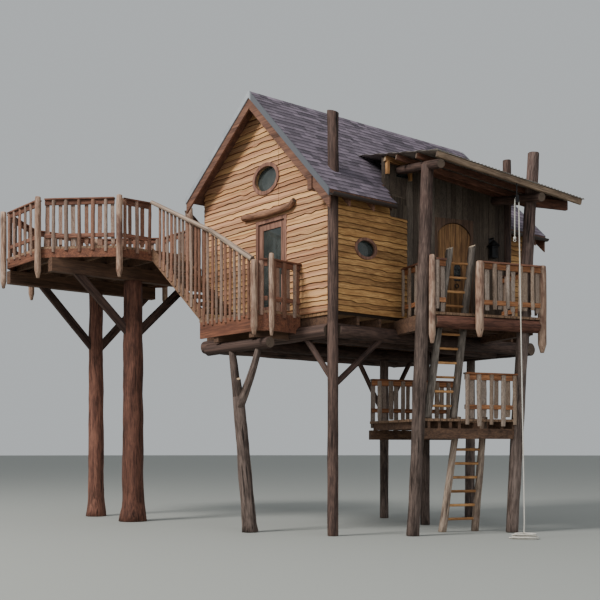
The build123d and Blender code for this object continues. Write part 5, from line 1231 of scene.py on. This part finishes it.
sheet = linked("corrugated_flat", flat)
run_tree(sheet, wave_tree(), {
    "Pitch": WAVE, "Height": WAVE_HEIGHT, "Across": tuple(ALONG), "Finish": FINISH["sheet"],
})
thick = sheet.modifiers.new("metal", "SOLIDIFY")
thick.thickness, thick.offset = SHEET_THICK, 0.0
waved = plain_mesh(sheet)
print("sheet faces:", len(waved.polygons))
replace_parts(put("corrugated_roof", waved), "porch_roof")

# %% [markdown]
# The porch room's wall is of upright planks, dark olive brown, each a little proud or shy of its neighbour. They are
# boxes laid by the tree, trimmed to the roofs, the arched door's frame and the small upper window.

# %% Upright planks
PLANK_CUTS = 8
PLANK_SHAPE = ((0.0, -0.5), (0.8, -0.5), (1.0, -0.44), (1.0, 0.44), (0.8, 0.5), (0.0, 0.5))
ROOM_N, ROOM_ALONG, EAVE_TO, ABOVE_EAVE = -1.2, 2.86, 0.50, 6.66
DOOR_FROM, DOOR_TO, DOOR_TOP, DOOR_SNAP = 1.17, 2.09, 6.48, 0.04
LIGHT_FROM, LIGHT_TO, LIGHT_LOW, LIGHT_HIGH = 0.275, 0.545, 7.215, 7.435
points = [(x, y, k / PLANK_CUTS) for k in range(PLANK_CUTS + 1) for x, y in PLANK_SHAPE]
plank = stock("plank", points, closed_skin(PLANK_CUTS + 1, len(PLANK_SHAPE)))
wall_planks = []
t, count = -0.01, 0
while t < ROOM_ALONG:
    end = min(t + 0.128 + 0.03 * math.sin(count * 2.1), ROOM_ALONG)
    if 0.9 < t < DOOR_FROM < end + DOOR_SNAP:
        end = DOOR_FROM
    if t < DOOR_TO < end + DOOR_SNAP:
        end = DOOR_TO
    middle = (t + end) / 2
    low = ABOVE_EAVE if middle < EAVE_TO else PORCH_Z
    if DOOR_FROM <= middle <= DOOR_TO:
        low = DOOR_TOP
    spans = [(low, porch_roof_z(ROOM_N, end, 0.030))]
    if t < LIGHT_TO and end > LIGHT_FROM:
        spans = [p for a, b in spans for p in ((a, LIGHT_LOW), (LIGHT_HIGH, b))]
    proud = 0.014 + 0.006 * math.sin(count * 3.7)
    for a, b in spans:
        if b - a > 0.02:
            wall_planks.append((porch(ROOM_N + 0.001, middle, a), (0, 0, TURN), (proud, end - t - 0.005, b - a)))
    t = end
    count += 1
lay("porch_room_planks", plank, wall_planks, "plank", 0.004, 7.0, 3)

# %% [markdown]
# Railings are slabs split from small logs, flat where they are nailed and round outside, set in turn on both faces
# of the rails. Each slab has its own width, height and crooked edges. The tree lays them; the rails under them come
# from the timber builder.

# %% Parts of a railing
RAIL_TOP = 1.03
SLAB_PITCH, SLAB_WIDE, SLAB_THICK, SLAB_INSET = 0.138, 0.076, 0.038, 0.043
BOARD_THICK = 0.038
SLAB_CUTS = 9
HALF_ROUND = ((-0.5, 0.0), (0.5, 0.0), (0.46, 0.42), (0.28, 0.82), (0.0, 1.0), (-0.28, 0.82), (-0.46, 0.42))
points = []
for k in range(SLAB_CUTS + 1):
    thin = 1.0 if k else 0.86
    points += [(w * thin, d * thin, k / SLAB_CUTS) for w, d in HALF_ROUND]
slab = stock("split_slab", points, closed_skin(SLAB_CUTS + 1, len(HALF_ROUND)))


def slab_width(number):
    return SLAB_WIDE * (0.86 + 0.07 * (number % 4))


def direction(start, end):
    """The direction in plan from one point to another, and how far it is."""
    (x0, y0), (x1, y1) = start, end
    length = math.hypot(x1 - x0, y1 - y0)
    return (x1 - x0) / length, (y1 - y0) / length, length


def railing(boards, slabs, start, end, low, first=0, *, floor, height, girth=1.2, lower=0):
    """A railing's rails go into boards and its slabs' places into slabs. Seen from start, outside is on the right.

    Low is where the outer slabs end over the floor. Girth widens the slabs, and lower is the finish of the lower
    rails.
    """
    dx, dy, length = direction(start, end)
    side = Vector((dy, -dx, 0))

    def at(s, z):
        return Vector((start[0] + dx * s, start[1] + dy * s, floor + z))

    for z, wide, deep, wave, step, finish in (
        (height - 0.018, 0.13, 0.036, 0.16, 0.2, 0), (height - 0.091, BOARD_THICK, 0.110, 0.05, 0.3, lower),
        (0.235, BOARD_THICK, 0.090, 0.05, 0.3, lower),
    ):
        boards.board(at(0, z), at(length, z), wide, deep, wave=wave, step=step, kinds=(finish, 1))
    count = max(1, int((length - SLAB_WIDE) // SLAB_PITCH) + 1)
    pitch = (length - 2 * SLAB_INSET) / max(1, count - 1)
    for i in range(count):
        outside = (i + first) % 2 == 0
        drop = (low if outside else max(low, 0.06)) - 0.016 * ((i * 3 + first) % 4)
        out = side if outside else -side
        foot = at(SLAB_INSET + i * pitch, drop) + out * (BOARD_THICK / 2)
        turn = (0, 0.012 * math.sin(i * 4.1 + first), math.atan2(out.y, out.x) - math.pi / 2)
        slabs.append((foot, turn, (slab_width(i * 5 + first) * girth, SLAB_THICK, height - 0.037 - drop)))


def short(start, end, cut_start, cut_end):
    """A line in plan with both ends cut back."""
    dx, dy, _ = direction(start, end)
    return (start[0] + dx * cut_start, start[1] + dy * cut_start), (end[0] - dx * cut_end, end[1] - dy * cut_end)


def joined(name, things, node):
    """Several objects as one, in the place of a solid node."""
    bpy.ops.object.select_all(action="DESELECT")
    for thing in things:
        thing.select_set(True)
    bpy.context.view_layer.objects.active = things[0]
    bpy.ops.object.join()
    one = bpy.context.view_layer.objects.active
    one.name = name
    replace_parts(one, node)
    print(name, "faces:", len(one.data.polygons))


def fence(name, timbers, node, seed, fields, slab_finish="slab", **common):
    """A whole railing. Fields are its straight parts: start, end, low, and which slab comes first."""
    slabs = []
    for field in fields:
        railing(timbers, slabs, *field, **common)
    joined(name, [timbers.build(), lay(name + "_slabs", slab, slabs, slab_finish, 0.018, 8.0, seed)], node)


print("slab points:", len(points))

# %% [markdown]
# Four railings follow. The lookout's has seven whole sides and a piece beside the stair; the balcony's meets the
# porch and the stair at its hanging logs; the porch's and the platform's are older and greyer.

# %% Railings
ROUND_LOG, HALF_SIDE = 0.095, math.radians(22.5)
corners = octagon(LOOKOUT_R - BOARD_THICK / 2 / math.cos(HALF_SIDE))
fields = [(*short(corners[k], corners[(k + 1) % 8], ROUND_LOG, ROUND_LOG), -0.09, k) for k in range(1, 8)]
fields.append((*short(corners[0], (corners[0][0], -1.07), ROUND_LOG, 0), -0.09))
lookout_rails = Timbers("lookout_rails", ["cap", "end_dark"])
fence("lookout_fence", lookout_rails, "lookout_railing", 11, fields, floor=LOOKOUT_Z, height=1.05)

(x0, y0), (x1, y1) = BALCONY_CORNER, STAIR_CORNER
fields = [
    (*short((x0 - 0.019, y0), (-0.969, 0.0), 0.05, 0.01), -0.09),
    (*short((x1 - 0.013, y1 + 0.013), (x0 - 0.013, y0 + 0.013), 0.06, 0.06), -0.09),
]
balcony_rails = Timbers("balcony_rails", ["cap", "end_dark"])
fence("balcony_fence", balcony_rails, "balcony_railing", 12, fields, floor=FLOOR_Z, height=1.0, girth=1.45)

fields = [
    (plan(0.242, 1.345), plan(0.242, 2.75), 0.13), (plan(0.202, 0.37), plan(0.202, 0.60), 0.06),
    (plan(-1.06, 0.365), plan(0.14, 0.365), 0.06), (plan(0.12, 2.742), plan(-1.08, 2.742), 0.06),
]
fence(
    "porch_fence", Timbers("porch_rails", ["cap", "end_dark", "cap_orange"]), "porch_railing", 13, fields, "slab_grey",
    floor=PORCH_Z, height=RAIL_TOP, girth=1.3, lower=2,
)

fields = [(plan(0.076, 1.11), plan(0.076, 2.30), -0.11), (plan(-2.281, 2.30), plan(-2.281, 0.245), -0.11)]
fence(
    "platform_fence", Timbers("platform_rails", ["cap_orange", "end_dark"]), "mid_platform_railing", 14, fields,
    "slab_grey", floor=MID_Z, height=0.91, girth=1.4,
)

# %% [markdown]
# The stair's handrail is a long pole in two pieces, which meet in one bend. Its slabs are nailed to the stringer
# below and to the pole above, so their feet and heads follow two lines.

# %% Stair rail
STAIR_Y, STAIR_FOOT, STAIR_TOP, STAIR_SLOPE = -1.108, -2.70, -4.79, 1.75 / 2.175
LOG_X = STAIR_LOG_PLACE[0]
BEND_X, BEND_Z = -2.55, 6.15
pole_run = [(0.0, 5.32), (LOG_X - BEND_X, BEND_Z), (LOG_X - STAIR_TOP, 7.15)]
pole = Timbers("stair_pole", ["log_pale", "end_dark"])
pole.log((LOG_X - 0.07, STAIR_Y, 5.343), (BEND_X, STAIR_Y, BEND_Z), 0.056, 0.054)
pole.log((BEND_X + 0.03, STAIR_Y, BEND_Z - 0.02), (STAIR_TOP, STAIR_Y, 7.14), 0.054, 0.046)
places = []
x, i = LOG_X - 0.10, 0
while x > STAIR_TOP + 0.15:
    foot = FLOOR_Z - 0.12 if x > STAIR_FOOT - 0.15 else FLOOR_Z - 0.15 + STAIR_SLOPE * (STAIR_FOOT - x)
    foot -= 0.02 * math.sin(i * 2.3)
    turn = (0, 0.01 * math.sin(i * 3.3), math.pi)
    places.append(((x, -1.0505, foot), turn, (slab_width(i * 5) * 1.08, 0.036, between(pole_run, LOG_X - x) - foot)))
    x -= SLAB_PITCH * 1.12
    i += 1
stair_slabs = lay("stair_slabs", slab, places, "slab", 0.018, 8.0, 15)
joined("stair_fence", [pole.build(), stair_slabs], "stair_rail")

# %% [markdown]
# Under the porch roof, round logs carry upright boards. A bent log hangs over the gable's door, its right end
# turned up; it is a chain of rings along a curved line.

# %% Roof timbers and the bent log
RAFTER_UNDER, RAFTER_LOG, RAFTER_LOG_UNDER = 0.083, 0.095, 0.227
roof_timbers = Timbers("roof_timbers", ["log_dark", "end_dark", "cap", "fascia"])
for n in (0.52, -0.09, -0.72, -1.15):
    start = max(CORNER_T - (0.6 - n) * CORNER_SLANT + 0.04, 0.0)
    a, b = (under_porch_roof(n, t, RAFTER_UNDER) for t in (start, 3.53))
    roof_timbers.board(a, b, 0.06, 0.108, wave=0.03, step=0.4, kinds=(3 if n > 0 else 2, 1))
for t in (0.331, 2.61):
    a, b = (under_porch_roof(n, t, RAFTER_LOG_UNDER) for n in (-1.19, 0.5))
    roof_timbers.log(a, b, RAFTER_LOG)
z = porch_roof_z(0.02, 3.56, 0.032) - 0.095
roof_timbers.board(porch(0.02, 2.75, z), porch(0.02, 3.56, z), 0.09, 0.186, wave=0.04, kinds=(2, 1))
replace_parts(roof_timbers.build(), "porch_roof_frame")

EAVE_N = -1.1547
eave_beam = Timbers("eave_beam", ["rung", "end"])
a, b = (under_porch_roof(EAVE_N, t, RAFTER_UNDER) for t in (-0.01, 0.66))
eave_beam.board(a, b, 0.09, 0.108, wave=0.03)
for t in (0.05, 0.57):
    head = porch_roof_z(EAVE_N, t, RAFTER_UNDER)
    eave_beam.board(porch(EAVE_N, t, head - 0.30), porch(EAVE_N, t, head), 0.088, 0.068, side=OUT, wave=0.06)
eave_beam.build()

LINTEL_Y, LINTEL_SIDES, LINTEL_STEPS = -0.074, 18, 5
lintel = Timbers("bent_lintel", ["log_bent", "end_dark"])
stations = [
    (-2.79, 6.575, 0.060), (-2.34, 6.549, 0.068), (-1.98, 6.535, 0.074), (-1.53, 6.541, 0.072), (-1.23, 6.555, 0.070),
    (-1.08, 6.645, 0.050),
]
fine = []
for (x0, z0, r0), (x1, z1, r1) in zip(stations, stations[1:]):
    for s in [k / LINTEL_STEPS for k in range(LINTEL_STEPS)]:
        soft = s * s * (3 - 2 * s)
        fine.append((x0 + (x1 - x0) * s, z0 + (z1 - z0) * soft, r0 + (r1 - r0) * s))
fine.append(stations[-1])
rings, grains = [], []
for k, (x, z, radius) in enumerate(fine):
    a, b = fine[max(k - 1, 0)], fine[min(k + 1, len(fine) - 1)]
    along = Vector((b[0] - a[0], 0, b[1] - a[1])).normalized()
    up = Vector((-along.z, 0, along.x))
    ring, grain = [], []
    for angle in [2 * math.pi * i / LINTEL_SIDES for i in range(LINTEL_SIDES)]:
        c, s = math.cos(angle), math.sin(angle)
        reach = radius * (0.97 - 0.07 * noise.noise(Vector((c * 1.5, s * 1.5, x * 4))))
        ring.append(Vector((x, LINTEL_Y, z)) + up * (reach * c) + Vector((0, -1, 0)) * (reach * s))
        grain.append(Vector((reach * c, reach * s, x)))
    rings.append(ring)
    grains.append(grain)
lintel.tube(rings, grains, (0, 1))
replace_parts(lintel.build(), "door_lintel")

# %% [markdown]
# The rope's three strands wind round the points read from its curve. Each strand is a small tube on a helix, which
# shows the twist better than a bump on one smooth tube.

# %% Rope
ROPE_STEP, TWIST, STRANDS, STRAND_SIDES = 0.011, 0.085, 3, 6
STRAND_OFF, STRAND_RADIUS = ROPE * 0.235, ROPE * 0.262


def evenly(path):
    """Points at even steps along a path."""
    spaced, left = [path[0]], 0.0
    for a, b in zip(path, path[1:]):
        length = (b - a).length
        at = ROPE_STEP - left
        while at <= length:
            spaced.append(a + (b - a) * (at / length))
            at += ROPE_STEP
        left = (left + length) % ROPE_STEP
    return spaced


def rope_mesh(name, spots):
    """Strands wound round evenly spaced points."""
    up, frames = Vector((1, 0, 0)), []
    for k, spot in enumerate(spots):
        along = (spots[min(k + 1, len(spots) - 1)] - spots[max(k - 1, 0)]).normalized()
        up = (up - along * up.dot(along)).normalized()
        frames.append((spot, up, along.cross(up), k * ROPE_STEP))
    angles = [2 * math.pi * i / STRAND_SIDES for i in range(STRAND_SIDES)]
    circle = [(math.cos(a), math.sin(a)) for a in angles]
    points, faces, grain = [], [], []
    for strand in range(STRANDS):
        faces += closed_skin(len(frames), STRAND_SIDES, len(points))
        for spot, u, v, run in frames:
            angle = strand * 2 * math.pi / STRANDS + run * 2 * math.pi / TWIST
            middle = spot + (u * math.cos(angle) + v * math.sin(angle)) * STRAND_OFF
            points += [middle + (u * c + v * s) * STRAND_RADIUS for c, s in circle]
            grain += [(c * 0.006, s * 0.006, run) for c, s in circle]
    mesh = new_mesh(name, points, faces, [FINISH["rope"]], grain=grain)
    mesh.polygons.foreach_set("use_smooth", [True] * len(faces))
    mesh.update()
    return mesh


def bent(name, strands, thick, finish, body="building", order=3):
    """Round bars bent along lists of points, as one piece."""
    line = smooth_line(name, strands, order)
    line.bevel_depth, line.bevel_resolution, line.use_fill_caps = thick / 2, 3, True
    mesh = plain_mesh(linked(name, line))
    mesh.materials.clear()
    mesh.materials.append(FINISH[finish])
    return put(name, mesh, body)


rope_spots = evenly(rope_path)
rope = put("hauling_rope", rope_mesh("hauling_rope", rope_spots))
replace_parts(rope, "rope", "rope_heap")
print("rope faces:", len(rope.data.polygons))

tail = rope_path[-1]
knot_points = []
for a in [2 * math.pi * k / 14 for k in range(22)]:
    reach = 0.016 + 0.004 * math.sin(3 * a)
    x, y = tail.x + 0.010 + reach * math.cos(a), tail.y + reach * math.sin(a)
    knot_points.append((x, y, 0.018 + 0.007 * math.sin(2 * a)))
end_knot = bent("rope_end_knot", [knot_points], 0.021, "rope")

[tuple(p) for p in rope_spots[::3] + [rope_spots[-1]]]

# %% [markdown]
# The rest of the solids have their right shape already, and only need a finish.

# %% Finishes of the solids that stay
CARRIED = {
    "beam": ["floor_joists", "lookout_beams"], "rim": ["rim_boards"], "floor": ["cabin_floor"], "deck": ["decks"],
    "inside": ["gable_wall", "rear_walls"], "room_wall": ["side_wall", "porch_wall"],
    "barge": ["roof_rafters", "barge_boards"], "door": ["gable_door_frame", "gable_door", "window_frames"],
    "door_planks": ["porch_door"], "frame_dark": ["porch_door_frame"], "tread": ["stair"], "edge": ["roof_edge_metal"],
    "glass": ["gable_door_glass", "window_panes"],
    "iron": ["gable_door_hinges", "porch_door_hinges", "door_hinge_pins", "lantern", "pulley"],
    "rope": ["rope_hook"],
}
for finish, names in CARRIED.items():
    for name in names:
        slots = nodes[name].data.materials
        if not slots:
            slots.append(FINISH[finish])
        for k in range(len(slots)):
            slots[k] = FINISH[finish]
print("solids with a finish:", sum(len(names) for names in CARRIED.values()))

# %% [markdown]
# The porch door gets a small arched light with bars and a ring to pull it by, and the gable door a pull. They ride on
# the doors' leaves.

# %% Door furniture
FACE, LIGHT_T = -1.205, 1.71
arch = [(LIGHT_T + 0.075 * math.cos(math.pi * k / 12), 5.46 + 0.080 * math.sin(math.pi * k / 12)) for k in range(13)]
pane_edge = [(1.635, 5.20), (1.785, 5.20)] + arch
points = [porch(FACE + out, t, z) for out in (-0.002, 0.003) for t, z in pane_edge]
pane = new_mesh("porch_door_light", points, closed_skin(2, len(pane_edge)), [FINISH["glass"]])
put("porch_door_light", pane, "porch_door_leaf")

bars = [[porch(FACE + 0.008, t, z) for t, z in pane_edge + pane_edge[:1]]]
for t, top in ((1.674, 5.525), (LIGHT_T, 5.54), (1.746, 5.525)):
    bars.append([porch(FACE + 0.008, t, 5.19), porch(FACE + 0.008, t, top)])
bars += [[porch(FACE + 0.010, 1.63, z), porch(FACE + 0.010, 1.79, z)] for z in (5.31, 5.425)]
bent("porch_door_bars", bars, 0.013, "iron", "porch_door_leaf", 2)
turns = [k * math.pi / 8 for k in range(17)]
ring = [porch(FACE + 0.012, 1.70 + 0.042 * math.sin(a), 5.085 + 0.042 * math.cos(a)) for a in turns]
eye = [porch(FACE + out, 1.70, 5.127) for out in (-0.002, 0.024)]
bent("porch_door_ring", [ring, eye], 0.018, "iron", "porch_door_leaf")
pull = [(0.0, 5.22), (0.028, 5.225), (0.045, 5.25), (0.045, 5.34), (0.028, 5.365), (0.0, 5.37)]
bent("gable_door_pull", [[(-1.53, 0.005 - out, z) for out, z in pull]], 0.016, "iron", "gable_door_leaf")
print("bars of the door's light:", len(bars))

# %% [markdown]
# The floor is a plain pale disc. One large soft light, on the camera's left, stands in for the bright sky, a weaker
# one fills from the right, and the world adds an even pale grey.

# %% Stage and light
EDGE_POINTS, STAGE_REACH = 96, 300
turns = [2 * math.pi * k / EDGE_POINTS for k in range(EDGE_POINTS)]
edge = [(STAGE_REACH * math.cos(a), STAGE_REACH * math.sin(a), 0) for a in turns]
pale = Finish("studio_pale", Roughness=0.9, Base_Color=(0.30, 0.31, 0.29, 1))
floor = linked("studio_floor", new_mesh("studio_floor", edge, [tuple(range(EDGE_POINTS))], [pale.material]))
floor.location.z = -0.001
floor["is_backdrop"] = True


def soft_light(name, place, aim, size, power, colour):
    """A soft square light that shines on a point."""
    lamp = bpy.data.lights.new(name, "AREA")
    lamp.size, lamp.energy, lamp.color = size, power, colour
    aimed(name, lamp, place, Vector(aim) - Vector(place))


soft_light("sky_light", (-4, -24, 27), (-1, 1, 5), 9, 13500, (1.0, 0.970, 0.925))
soft_light("fill_light", (24, -8, 10), (0, 1, 4), 14, 1700, (0.93, 0.965, 1.0))
world = bpy.data.worlds.new("pale_sky")
bpy.context.scene.world = world
world.use_nodes = True
sky = world.node_tree.nodes["Background"].inputs
sky["Color"].default_value, sky["Strength"].default_value = (0.80, 0.84, 0.86, 1), 0.62
print("stage and lights set")

# %% [markdown]
# At the end, the box round the solids and the box round the finished pieces are written down, so that the two can be
# compared.

# %% Sizes and the end
dressed_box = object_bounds()
for axis, a, b, c, d in zip("xyz", solids_box[0], dressed_box[0], solids_box[1], dressed_box[1]):
    print(axis, "solids", round(a, 3), round(c, 3), "dressed", round(b, 3), round(d, 3))
